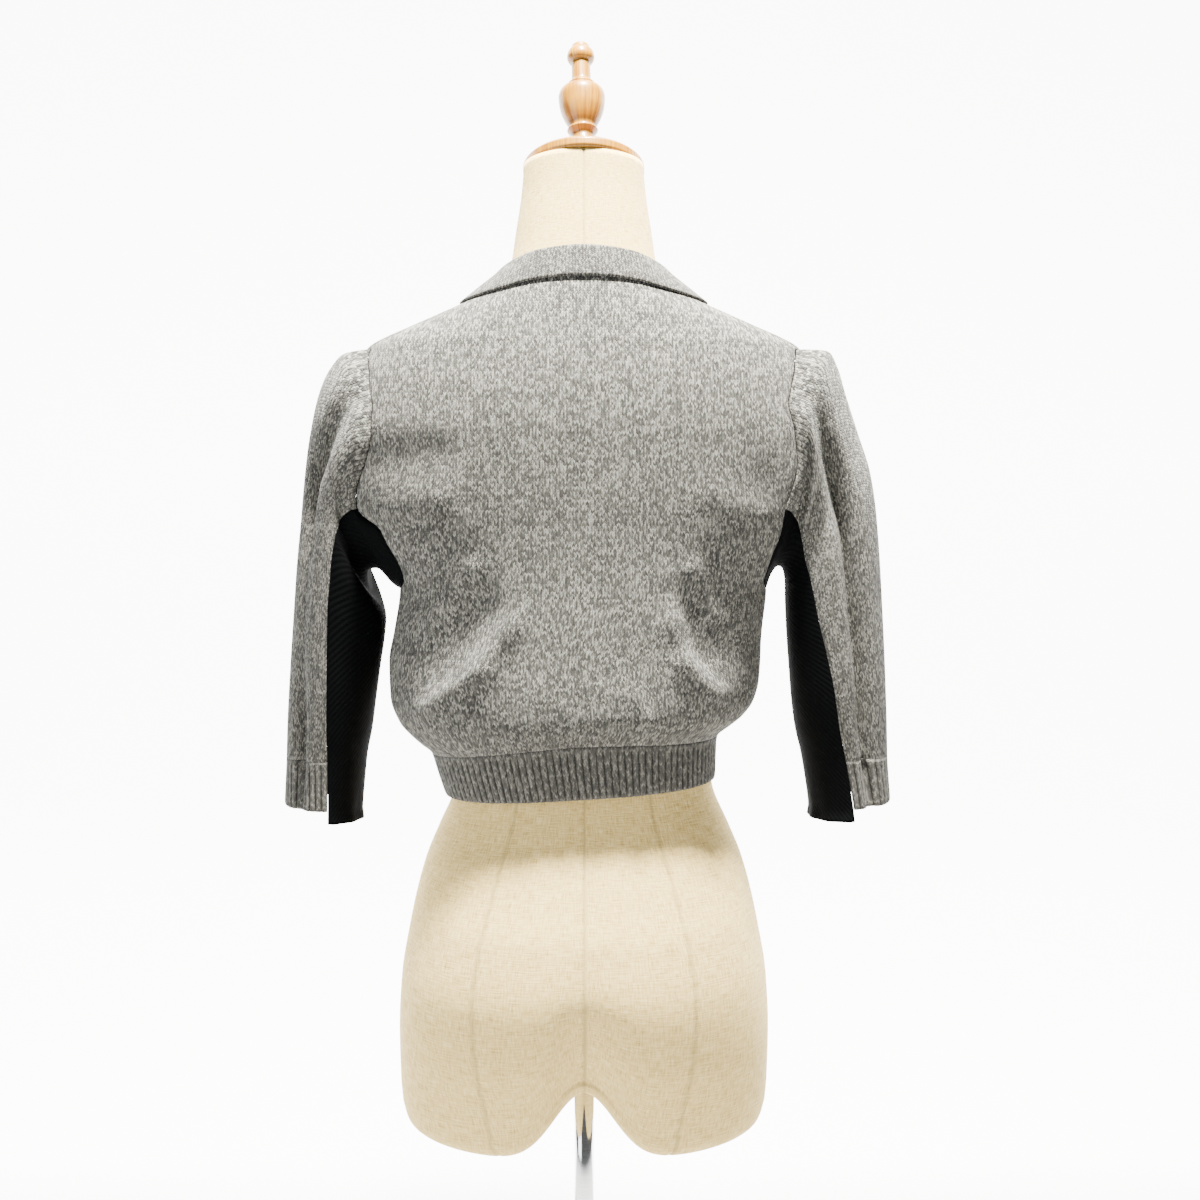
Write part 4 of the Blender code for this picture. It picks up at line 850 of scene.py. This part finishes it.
def build_sleeve_under(side, finish):
    """The black cloth under the arm, with a rolled hem that flares below the cuff."""
    rows = even_rows(side, FIRST_ROW, SLEEVE_HEM_ROW - 0.2, 110, 180)
    points, normals, climb, widths = sleeve_grid(side, rows, GREY_EDGE_ANGLE,
                                                 360 - GREY_EDGE_ANGLE, UNDER_COLUMNS)
    share = np.linspace(0, 1, UNDER_COLUMNS)
    across = np.minimum(share, 1 - share)[None, :] * widths[:, None]
    along = np.broadcast_to((climb[0] - climb)[:, None], across.shape)
    edge = seam_shape(across, along)
    flare = HEM_FLARE * np.exp(-(climb / 0.005) ** 2)[:, None]
    ripple = HEM_RIPPLE * np.sin(2 * np.pi * share * 5 + 1.0)[None, :]
    relief = flare + ripple * np.exp(-climb / 0.02)[:, None]
    uv = together(share * widths.mean(), climb[:, None])
    return dress("jersey_sleeve_under_" + side, points, normals, relief, edge, uv, edge, finish,
                 4, mirror=side == "right")


def build_cuff(side, finish):
    """The ribbed cuff below a sleeve's grey cloth."""
    limit = GREY_EDGE_ANGLE - CUFF_EDGE_INSET
    places = np.linspace(-limit, limit, CUFF_RIBS * RIB_STEPS + 1)
    share = np.linspace(0, 1, BAND_ROWS)
    start = SLEEVE_CUFF_ROW + CUFF_ROW_INSET
    rows = SLEEVE_CUFF_END_ROW + (start - SLEEVE_CUFF_END_ROW) * share
    length = np.linalg.norm(sleeve_point(side, 0, start) - sleeve_point(side, 0, rows[0]))
    return rib_band("rib_cuff_" + side, partial(sleeve_point, side),
                    partial(sleeve_normal, side), places, rows, share, share * length,
                    finish, mirror=side == "right")


# ---- the collar

FOLD_RADIUS = 0.0018
COLLAR_SEAM_GAP = WALL / 2 + 2 * EDGE_GAP
FULL_STAND = 0.010           # a stand this high or higher rises straight from its seam
STAND_SET_BACK = 0.0005      # and starts this much nearer the neck
STAND_LEAN = 0.2             # lean of the stand towards the neck
FLAT_TOP_REACH = 0.0022      # reach of the fold where there is no stand
FOLD_DROP = 0.0002
STAND_STEPS = 6
FOLD_TURNS = np.radians(np.linspace(168, 12, 7))
LEAF_STEPS = 11
COLLAR_SIDE_ANGLE = 103.0    # the collar's stations are body angles up to here, then levels
COLLAR_END_LEVEL = 0.8762
LIP_REACH = 0.0035           # the fall's free edge is rounded over this distance
LIP_RELIEF = 0.0002
UP = np.array((0.0, 0.0, 1.0))


def collar_station(station, behind):
    """Edge and fall places of the collar, on the body, with its stand and its lift."""
    table = COLLAR_BACK if behind else COLLAR_FRONT
    edge = (station, NECK_LEVEL) if behind else (float(front_edge_angle(station)), station)
    fall = (float(table.read("fall_angle", station)), float(table.read("fall_level", station)))
    return edge, fall, float(table.read("stand", station)), float(table.read("lift", station))


def collar_section(sign, station, behind):
    """The middle line of the collar's section: up the stand, over the fold, down the fall."""
    edge, fall, stand, lift = collar_station(station, behind)
    share = np.linspace(0, 1, LEAF_STEPS + 1)
    angles = sign * (edge[0] + (fall[0] - edge[0]) * share)
    levels = edge[1] + (fall[1] - edge[1]) * share
    over, normals = body_point(angles, levels), body_normal(angles, levels)
    normal = normals[0]
    outward = unit(over[0] - over[1])
    outward = unit(outward - normal * (outward @ normal))
    risen = min(1.0, stand / FULL_STAND)
    rise = unit(UP - STAND_LEAN * unit(normal * (1, 1, 0)))
    start = over[0] - normal * WALL / 2 + outward * (COLLAR_SEAM_GAP - STAND_SET_BACK * risen)
    start = start + rise * 2 * EDGE_GAP * risen
    top_direction = unit(rise * risen + outward * (1 - risen))
    top = start + rise * stand + outward * FLAT_TOP_REACH * (1 - risen)
    side_direction = unit(normal - top_direction * (normal @ top_direction))
    centre = top + side_direction * FOLD_RADIUS
    inner_fold = top - top_direction * FOLD_DROP
    climb = np.linspace(0, 1, STAND_STEPS)[:, None]
    turns = FOLD_TURNS[:, None]
    fold = centre + FOLD_RADIUS * (np.cos(turns) * side_direction
                                   + np.sin(turns) * top_direction)
    outer_fold = centre + side_direction * FOLD_RADIUS
    leaf = over + lift * normals
    leaf = leaf + (1 - share[:, None]) * (outer_fold - leaf[0])
    return np.concatenate((start + climb * (inner_fold - start), fold, leaf[1:]))


def build_collar(finish):
    """A fold-over collar; its wales run up the stand, over the fold and down the fall."""
    behind = [(station, True) for station in np.linspace(0, COLLAR_SIDE_ANGLE, 121)]
    before = [(station, False) for station in np.linspace(NECK_LEVEL, COLLAR_END_LEVEL, 161)]
    half = behind + before
    lines = [collar_section(-1, *place) for place in reversed(half[1:])]
    lines = np.array(lines + [collar_section(1, *place) for place in half])
    run = distances(lines[:, -1])
    wales = int(run[-1] / WALE)
    count = wales * WALE_STEPS + 1
    places = np.linspace(0, run[-1], count)
    flat = lines.reshape(len(lines), -1)
    lines = np.stack([np.interp(places, run, flat[:, i]) for i in range(flat.shape[1])], 1)
    lines = lines.reshape(count, -1, 3).transpose(1, 0, 2)
    along = np.gradient(lines, axis=1)
    across = np.gradient(lines, axis=0)
    sideways = unit(np.cross(across, along))
    climb = row_distances(lines)
    number = np.arange(count)
    away = np.broadcast_to((climb[-1] - climb)[:, None], (len(climb), count))
    lip = LIP_RELIEF * np.exp(-(away / LIP_REACH) ** 2)
    relief = WALE_PROFILE[number % WALE_STEPS] * 1.3 + lip
    # Painted shade: nearness to the collar's seam becomes the shade value, which darkens the collar's
    # colour there.
    sewn = np.broadcast_to(np.exp(-(climb / SEAM_REACH) ** 2)[:, None], away.shape)
    points = lines + (WALL / 2 + relief)[..., None] * sideways
    inner = lines - (WALL / 2 - lip)[..., None] * sideways
    uv = together(number / WALE_STEPS * WALE, climb[:, None])
    return shell("knit_collar", points, inner, uv, sewn + 0 * away, finish, WALE_STEPS)


# ---- the dress form and its stand

FORM_SEAMS = (0.0, 42.0, -42.0, 138.0, -138.0, 90.0, -90.0)
FORM_SEAM_DEPTH = 0.0006
FORM_SEAM_WIDTH = 0.0012
FORM_SEAM_TOP = 1.000        # only the seams front and back run up the neck
FORM_COLUMNS = 240
FORM_ROW_COUNT = 190
FORM_FOOT_STEPS = np.linspace(0, 1, 16)[:-1] ** 1.8
GIRTH_ROW = 80               # the row whose girth sets the linen's width all the way up


def round_skin(name, rings, uv, shade, finish, bottom, top):
    """A closed skin from rings of points, with a middle point under and over it."""
    rows, columns = rings.shape[:2]
    place = np.arange(rows * columns).reshape(rows, columns)
    beside = np.roll(place, -1, axis=1)
    faces = quads(place[:-1], beside[:-1], beside[1:], place[1:])
    low, high = rows * columns, rows * columns + 1
    faces += [(low, beside[0, i], place[0, i]) for i in range(columns)]
    faces += [(high, place[-1, i], beside[-1, i]) for i in range(columns)]
    faces = [[int(i) for i in face] for face in faces]
    points = np.concatenate((rings.reshape(-1, 3), (bottom, top)))
    uv = np.concatenate((uv.reshape(-1, 2), uv[0, :1], uv[-1, :1]))
    shade = np.concatenate((shade.ravel(), (0, 0)))
    return make_mesh(name, points, faces, uv, shade, finish)


def build_form(finish):
    """The form's linen cover, with its sewn seams as fine furrows."""
    columns = FORM_COLUMNS
    angles = (np.arange(columns) * 360 / columns + 180) % 360 - 180
    levels = np.linspace(FORM.x[0], FORM.x[-1], FORM_ROW_COUNT)
    foot = Table("height share", FORM_FOOT_ROWS + ((FORM.x[0], 1.0),))
    lowest = together(*ring(FORM, angles, np.full(columns, levels[0])))
    rings = []
    for height in FORM_BOTTOM + (FORM.x[0] - FORM_BOTTOM) * FORM_FOOT_STEPS:
        out, back = (lowest * foot.read("share", height)).T
        rings.append(together(out, back, notched(out, height)))
    rings += [form_point(angles, level) for level in levels]
    rings = np.array(rings)
    around = np.roll(rings, -1, axis=1) - np.roll(rings, 1, axis=1)
    up = np.gradient(rings, axis=0)
    normals = unit(np.cross(around, up))
    reach = np.linalg.norm(rings[..., :2], axis=-1)
    seam = np.zeros(reach.shape)
    for place in FORM_SEAMS:
        apart = np.radians((angles - place + 180) % 360 - 180) * reach
        line = np.exp(-(apart / FORM_SEAM_WIDTH) ** 2)
        if place:
            line = line * (rings[..., 2] < FORM_SEAM_TOP)
        seam = np.maximum(seam, line)
    facing = np.sign((normals * rings).sum(axis=-1).mean())
    rings = rings - facing * FORM_SEAM_DEPTH * seam[..., None] * normals
    girth = np.linalg.norm(np.diff(rings, axis=1, append=rings[:, :1]), axis=2)
    u = np.cumsum(np.full(girth.shape, girth[GIRTH_ROW].mean()), axis=1)
    uv = together(u, row_distances(rings)[:, None])
    low = rings[0].mean(axis=0) * (0, 0, 1)
    low[2] = float(notched(0.0, FORM_BOTTOM))
    # The seam mask is also the shade value: the linen's colour darkens along the furrows as painted
    # shade.
    return round_skin("form_linen", rings, uv, seam, finish, low, rings[-1].mean(axis=0))


def turned(name, profile, finish, smooth=5, sides=96):
    """A round solid from (distance along the axis, radius) rows, rounded between them."""
    table = np.array(profile)
    number = np.arange(len(table), dtype=float)
    fine = np.linspace(0, len(table) - 1, smooth * (len(table) - 1) + 1)
    curve = Table("number along radius", np.column_stack((number, table)))
    along, radius = curve.read("along", fine), curve.read("radius", fine)
    turn = 2 * np.pi * np.arange(sides) / sides
    rings = together(radius[:, None] * np.cos(turn), radius[:, None] * np.sin(turn),
                     along[:, None])
    uv = together(turn * max(radius), along[:, None])
    # Painted shade: the shade value rises in the profile's concave hollows, and the wood's colour
    # darkens there.
    painted_hollow_shade = np.clip((np.gradient(np.gradient(radius)) * 2500), 0, 1)
    shade = np.broadcast_to(painted_hollow_shade[:, None], rings.shape[:2])
    return round_skin(name, rings, uv, shade, finish, (0, 0, along[0]), (0, 0, along[-1]))


def build_neck(finish):
    tilt = Matrix.Rotation(CAP_TILT, 4, "X")
    cap = turned("wood_neck_cap", CAP_PROFILE, finish)
    cap.matrix_world = Matrix.Translation(CAP_CENTRE) @ tilt
    finial = turned("wood_finial", FINIAL_PROFILE, finish)
    finial.matrix_world = (Matrix.Translation(CAP_CENTRE) @ tilt
                           @ Matrix.Rotation(FINIAL_LEAN, 4, "Y"))
    return cap, finial


def build_stand(finish):
    top = float(notched(0.0, FORM_BOTTOM)) + POLE_SOCKET_DEPTH
    pole = turned("steel_pole", ((BASE_THICKNESS + 0.0003, POLE_RADIUS), (top, POLE_RADIUS)),
                  finish, smooth=1)
    base = turned("steel_base", BASE_PROFILE, finish, smooth=4, sides=144)
    return pole, base


# ---- materials

class Recipe:
    """A material's node tree, built from short calls; inputs are numbers or other sockets."""

    def __init__(self, name, roughness, metallic=0.0, **constants):
        self.material = bpy.data.materials.new(name)
        self.material.use_nodes = True
        self.tree = self.material.node_tree
        self.shader = self.tree.nodes["Principled BSDF"]
        self.set("Roughness", roughness)
        self.set("Metallic", metallic)
        for title, value in constants.items():
            self.set(title.replace("_", " "), value)
        self.uv = self.node("ShaderNodeUVMap").outputs["UV"]
        split = self.node("ShaderNodeSeparateXYZ", {"Vector": self.uv})
        self.u, self.v = split.outputs["X"], split.outputs["Y"]
        shade = self.node("ShaderNodeAttribute", attribute_name="shade")
        self.shade = shade.outputs["Fac"]

    def set(self, title, value):
        self.shader.inputs[title].default_value = value

    def node(self, kind, inputs=None, **settings):
        made = self.tree.nodes.new(kind)
        for name, value in settings.items():
            setattr(made, name, value)
        for title, value in (inputs or {}).items():
            self.feed(made.inputs[title], value)
        return made

    def feed(self, socket, value):
        if isinstance(value, bpy.types.NodeSocket):
            self.tree.links.new(value, socket)
        else:
            socket.default_value = value

    def calc(self, operation, first, second=0.0, third=0.0):
        made = self.node("ShaderNodeMath", {0: first, 1: second, 2: third},
                         operation=operation)
        return made.outputs[0]

    def plus(self, first, second):
        return self.calc("ADD", first, second)

    def times(self, first, second):
        return self.calc("MULTIPLY", first, second)

    def times_plus(self, first, factor, added):
        return self.calc("MULTIPLY_ADD", first, factor, added)

    def over(self, value, limit):
        return self.calc("GREATER_THAN", value, limit)

    def wave(self, value, power=None):
        """The sine of a value, raised to a power if there is one."""
        made = self.calc("SINE", value)
        return made if power is None else self.calc("POWER", made, power)

    def vector(self, x, y):
        return self.node("ShaderNodeCombineXYZ", {"X": x, "Y": y}).outputs[0]

    def noise(self, vector, scale=1.0, detail=2.0, roughness=0.5):
        inputs = {"Vector": vector, "Scale": scale, "Detail": detail, "Roughness": roughness}
        return self.node("ShaderNodeTexNoise", inputs).outputs[0]

    def streaks(self, across, along, detail, roughness=0.5):
        """Noise with so many cells in a metre across and along the cloth."""
        cells = self.vector(self.times(self.u, across), self.times(self.v, along))
        return self.noise(cells, 1.0, detail, roughness)

    def chance(self, vector):
        """A random value for each whole-numbered cell."""
        made = self.node("ShaderNodeTexWhiteNoise", {"Vector": vector}, noise_dimensions="3D")
        return made.outputs["Value"]

    def ramp(self, value, *stops):
        made = self.node("ShaderNodeValToRGB", {"Fac": value})
        points = made.color_ramp.elements
        while len(points) < len(stops):
            points.new(0.5)
        for point, (place, colour) in zip(points, stops):
            point.position = place
            point.color = (*colour, 1.0)
        return made.outputs["Color"]

    def scaled(self, colour, factor):
        """A colour made brighter or darker by a value."""
        made = self.node("ShaderNodeVectorMath", {0: colour, 3: factor}, operation="SCALE")
        return made.outputs[0]

    def paint(self, colour):
        self.feed(self.shader.inputs["Base Color"], colour)

    def bump(self, height, distance, strength):
        inputs = {"Height": height, "Distance": distance, "Strength": strength}
        self.feed(self.shader.inputs["Normal"],
                  self.node("ShaderNodeBump", inputs).outputs["Normal"])


def knit_height(mix):
    """The V-shaped stitches: their height, leg and row numbers, and each place in the wale."""
    sway = mix.times_plus(mix.noise(mix.uv, 300.0, 1.0), 0.30, -0.15)
    x = mix.plus(mix.calc("DIVIDE", mix.u, WALE), sway)
    y = mix.plus(mix.calc("DIVIDE", mix.v, COURSE), sway)
    column = mix.calc("FLOOR", x)
    offset = mix.calc("SUBTRACT", mix.calc("SUBTRACT", x, column), 0.5)
    out = mix.times(mix.calc("ABSOLUTE", offset), 2.0)
    half = mix.over(offset, 0.0)
    lifted = mix.times_plus(out, -0.85, y)
    row = mix.calc("FLOOR", lifted)
    part = mix.calc("SUBTRACT", lifted, row)
    across = mix.wave(mix.times(part, math.pi), 0.7)
    along = mix.wave(mix.times(out, math.pi), 0.5)
    return mix.times(across, along), mix.times_plus(column, 2.0, half), row, out


def marl(name, level, contrast, streaks, painted_wale_shade, seam, stitches):
    """Grey marl yarn: dark and pale fibres twisted together, knitted in V stitches.

    The yarn runs along the courses, so its flecks are longest there.
    """
    mix = Recipe(name, 0.95, Sheen_Weight=0.10, Sheen_Roughness=0.6,
                    Specular_IOR_Level=0.10)
    height, leg, row, out = knit_height(mix)
    ply = mix.chance(mix.vector(leg, row))
    yarn = mix.noise(mix.vector(mix.times(mix.u, 150.0),
                                      mix.times(row, 5.3)), 1.0, 1.0)
    fibres = mix.streaks(1700.0, 900.0, 1.0)
    patches = mix.noise(mix.uv, 16.0, 2.0)
    fleck = mix.times_plus(ply, PLY_SHARE, mix.times(fibres, FIBRE_SHARE))
    fleck = mix.times_plus(yarn, streaks, fleck)
    fleck = mix.times_plus(patches, PATCH_SHARE, fleck)
    middle = 0.5 * (PLY_SHARE + FIBRE_SHARE + streaks + PATCH_SHARE)
    spread = mix.times_plus(mix.calc("SUBTRACT", fleck, middle), contrast, 0.5)
    dark = tuple(level * 0.22 * c for c in (1.0, 1.01, 0.95))
    mid = tuple(level * c for c in (1.0, 1.0, 0.88))
    pale = tuple(min(0.85, level * 3.6) * c for c in (1.0, 0.985, 0.86))
    colour = mix.ramp(spread, (0.0, dark), (0.5, mid), (1.0, pale))
    # Painted shade and painted highlight: the colour is darker between the stitches' legs and
    # brighter on their crowns, and painted shade darkens the grooves between the wales.
    painted_stitch_shade = mix.times_plus(height, 0.50, 0.70)
    painted_hollow_shade = mix.times(mix.calc("POWER", out, 4.0), -painted_wale_shade)
    painted_stitch_shade = mix.times(painted_stitch_shade, mix.plus(painted_hollow_shade, 1.0))
    # Painted shade: the colour darkens where the shade value marks seam hollows and rib channels; the
    # dark linking stitches beside the seams are multiplied in too.
    painted_shade_and_stitches = mix.times_plus(mix.shade, -seam, 1.0)
    if stitches:
        painted_shade_and_stitches = mix.times(painted_shade_and_stitches, seam_stitches(mix))
    mix.paint(mix.scaled(colour, mix.times(painted_stitch_shade, painted_shade_and_stitches)))
    mix.bump(mix.times_plus(fibres, 0.6, height), 0.0006, 0.8)
    return mix.material


def seam_stitches(mix):
    """A row of dark linking stitches beside a seam, as a factor of the colour."""
    beside = mix.calc("SUBTRACT", mix.shade, 0.55)
    slope = mix.times(mix.calc("ABSOLUTE", beside), 5.0)
    band = mix.calc("MAXIMUM", mix.calc("SUBTRACT", 1.0, slope), 0.0)
    turn = mix.times(mix.v, 2 * math.pi / STITCH_PITCH)
    dots = mix.over(mix.wave(turn), 0.1)
    return mix.times_plus(mix.times(band, dots), -0.55, 1.0)


def black_jersey():
    """Matte black jersey with faint slanting ribs."""
    mix = Recipe("black jersey", 0.9, Specular_IOR_Level=0.04)
    slant = mix.times_plus(mix.u, 0.72, mix.times(mix.v, -0.7))
    turn = mix.times(slant, 2 * math.pi / JERSEY_RIB)
    rib = mix.times_plus(mix.wave(turn), 0.5, 0.5)
    lint = mix.noise(mix.uv, 900.0, 2.0)
    tone = mix.times_plus(rib, 0.35, mix.times(lint, 0.6))
    mix.paint(mix.ramp(tone, (0.15, (0.0003, 0.0004, 0.0005)),
                             (0.9, (0.0022, 0.0028, 0.0031))))
    mix.bump(mix.times_plus(lint, 0.4, rib), 0.0003, 0.6)
    return mix.material


def linen():
    """Cream linen: a plain weave with slubs and a few dark specks."""
    mix = Recipe("cream linen", 0.9, Sheen_Weight=0.08, Sheen_Roughness=0.5,
                    Specular_IOR_Level=0.2)
    wobble = mix.times(mix.noise(mix.uv, 60.0, 2.0), 2.2)
    turn = 2 * math.pi / LINEN_THREAD
    warp = mix.wave(mix.times_plus(mix.u, turn, wobble))
    weft = mix.wave(mix.times_plus(mix.v, turn, wobble))
    weave = mix.times(warp, weft)
    slubs = mix.plus(mix.streaks(90.0, 1000.0, 2.0), mix.streaks(1000.0, 110.0, 2.0))
    tone = mix.times_plus(weave, 0.09, mix.times(slubs, 0.5))
    colour = mix.ramp(tone, (0.22, (0.22, 0.14, 0.035)), (0.48, (0.68, 0.49, 0.17)),
                         (0.72, (0.86, 0.71, 0.33)))
    speck = mix.over(mix.streaks(420.0, 900.0, 1.0), 0.735)
    # Painted shade: the colour darkens where the shade value marks the form's seam furrows.
    shaded = mix.times_plus(mix.shade, -0.28, 1.0)
    mix.paint(mix.scaled(colour, mix.times_plus(speck, -0.35, shaded)))
    mix.bump(mix.times_plus(weave, 0.25, slubs), 0.0005, 0.5)
    return mix.material


def varnished_wood():
    """Honey-coloured wood with a fine grain under a gloss varnish."""
    mix = Recipe("honey wood", 0.40, Coat_Weight=0.35, Coat_Roughness=0.05,
                    Specular_IOR_Level=0.3)
    colour = mix.ramp(mix.streaks(420.0, 26.0, 4.0, 0.6), (0.25, (0.12, 0.036, 0.0005)),
                         (0.5, (0.27, 0.115, 0.001)), (0.8, (0.42, 0.22, 0.003)))
    # Painted shade darkens the wood's colour in the turned hollows, through the shade value.
    mix.paint(mix.scaled(colour, mix.times_plus(mix.shade, -0.6, 1.0)))
    return mix.material


def chrome():
    """Polished steel with faint marks of turning."""
    mix = Recipe("polished steel", 0.12, metallic=1.0)
    mix.paint(mix.ramp(mix.streaks(4.0, 700.0, 2.0), (0.3, (0.60, 0.61, 0.63)),
                             (0.7, (0.80, 0.81, 0.83))))
    return mix.material


# ---- the studio

WALL_START = -1.6            # the floor rises into a wall from here, beyond the form
WALL_RADIUS = 0.9
ROOM_REACH = 6.0
WALL_HEIGHT = 5.0
GLOW_START = -0.2            # the floor is a lit backdrop from here on
GLOW_RANGE = (0.1, 9.0)
GLOW_RISE = 40.0             # gain of glow in a metre
SKY_STRENGTH = 0.15
CAMERA_PLACE = (0.0, 1.3, 0.866)
CAMERA_DIP = 2.39            # the camera looks this far below the horizon
CAMERA_TURN = 0.64           # and this far to the wearer's right
LENS = 43.2                  # millimetres, on a sensor of 36


def pale_floor():
    """A matte white floor whose far wall glows a little, as a lit backdrop does."""
    finish = bpy.data.materials.new("pale floor")
    finish.use_nodes = True
    tree = finish.node_tree
    shader = tree.nodes["Principled BSDF"]
    shader.inputs["Base Color"].default_value = (0.42, 0.42, 0.42, 1.0)
    shader.inputs["Roughness"].default_value = 0.9
    shader.inputs["Emission Color"].default_value = (1.0, 1.0, 1.0, 1.0)
    glow = tree.nodes.new("ShaderNodeAttribute")
    glow.attribute_name = "glow"
    tree.links.new(glow.outputs["Fac"], shader.inputs["Emission Strength"])
    return finish


def build_floor():
    """A plain pale floor that rises into a wall behind the form."""
    turn = np.radians(np.linspace(0, 90, 13))
    profile = [(y, 0.0) for y in (ROOM_REACH, GLOW_START, -0.35, -0.5, WALL_START)]
    profile += [(WALL_START - WALL_RADIUS * math.sin(t), WALL_RADIUS - WALL_RADIUS * math.cos(t))
                for t in turn[1:]]
    profile += [(WALL_START - WALL_RADIUS, WALL_HEIGHT)]
    vertices = [(x, y, z) for y, z in profile for x in (-ROOM_REACH, ROOM_REACH)]
    faces = [(2 * i, 2 * i + 1, 2 * i + 3, 2 * i + 2) for i in range(len(profile) - 1)]
    mesh = bpy.data.meshes.new("floor")
    mesh.from_pydata(vertices, [], faces)
    mesh.shade_smooth()
    glow = [float(np.clip((GLOW_START - y) * GLOW_RISE, *GLOW_RANGE)) for _, y, _ in vertices]
    mesh.attributes.new("glow", "FLOAT", "POINT").data.foreach_set("value", glow)
    mesh.materials.append(pale_floor())
    floor = bpy.data.objects.new("floor", mesh)
    bpy.context.scene.collection.objects.link(floor)


def add_light(name, target, turn, lift, distance, size, power, colour):
    """A square soft light; turn is counted from the back of the jacket to the wearer's left."""
    turn, lift = math.radians(turn), math.radians(lift)
    away = Vector((math.sin(turn) * math.cos(lift), math.cos(turn) * math.cos(lift),
                   math.sin(lift)))
    data = bpy.data.lights.new(name, "AREA")
    data.size = size
    data.energy = power
    data.color = colour
    light = bpy.data.objects.new(name, data)
    light.location = Vector(target) + away * distance
    light.rotation_euler = away.to_track_quat("Z", "Y").to_euler()
    bpy.context.scene.collection.objects.link(light)


def light_studio():
    """A warm key light steeply above the back, a cool weak fill and a faint sky."""
    add_light("key", (0, 0, 1.0), turn=-22, lift=77, distance=1.40, size=0.20, power=470.0,
              colour=(1.0, 0.955, 0.875))
    add_light("fill", (0, 0, 0.7), turn=50, lift=10, distance=3.0, size=2.0, power=75.0,
              colour=(0.97, 0.98, 1.0))
    world = bpy.data.worlds.new("studio")
    bpy.context.scene.world = world
    world.use_nodes = True
    background = world.node_tree.nodes["Background"]
    background.inputs["Color"].default_value = (1.0, 1.0, 1.0, 1.0)
    background.inputs["Strength"].default_value = SKY_STRENGTH


def place_camera():
    data = bpy.data.cameras.new("camera")
    data.lens = LENS
    data.sensor_width = 36.0
    data.shift_y = -0.05
    camera = bpy.data.objects.new("camera", data)
    camera.location = CAMERA_PLACE
    camera.rotation_euler = (math.radians(90 - CAMERA_DIP), 0.0,
                             math.radians(180 - CAMERA_TURN))
    bpy.context.scene.collection.objects.link(camera)
    bpy.context.scene.camera = camera


# ---- everything


def place(piece, node, slot):
    """The piece rides on the part's body and is shown in place of its plain solid."""
    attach(piece, "root")
    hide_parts(node)


def build_garment():
    grey = marl("grey marl knit", 0.087, 1.35, 0.30, 0.62, 0.22, True)
    # The rib's grey is a little darker than the body's grey, as painted shade of the waist band lying
    # under the blouse; the cuffs share this material.
    rib = marl("grey marl rib", 0.082, 0.8, 0.30, 0.10, 0.90, False)
    fold = marl("grey marl collar", 0.080, 1.2, 0.20, 0.80, 0.20, False)
    black = black_jersey()
    place(build_back(grey), "back", "grey_knit")
    centre = float(front_edge_angle(RIB_TOP_LEVEL))
    place(build_hem_rib("rib_hem_back", -90, 90, BACK_RIBS, rib), "hem_rib_back", "grey_rib")
    for side, sign in SIDES.items():
        place(build_front(side, grey), "front_" + side, "grey_knit")
        place(build_sleeve_top(side, grey), "sleeve_top_" + side, "grey_knit")
        place(build_sleeve_under(side, black), "sleeve_under_" + side, "black_jersey")
        place(build_cuff(side, rib), "cuff_" + side, "grey_rib")
        rib_front = build_hem_rib("rib_hem_front_" + side, sign * 90, sign * centre,
                                  FRONT_RIBS, rib)
        place(rib_front, "hem_rib_front_" + side, "grey_rib")
    place(build_collar(fold), "collar", "grey_rib")


def build_support():
    wood, steel = varnished_wood(), chrome()
    place(build_form(linen()), "form_body", "linen")
    cap, finial = build_neck(wood)
    place(cap, "neck_cap", "wood")
    place(finial, "finial", "wood")
    pole, base = build_stand(steel)
    place(pole, "pole", "steel")
    place(base, "base", "steel")


build_support()
build_garment()
build_floor()
light_studio()
place_camera()
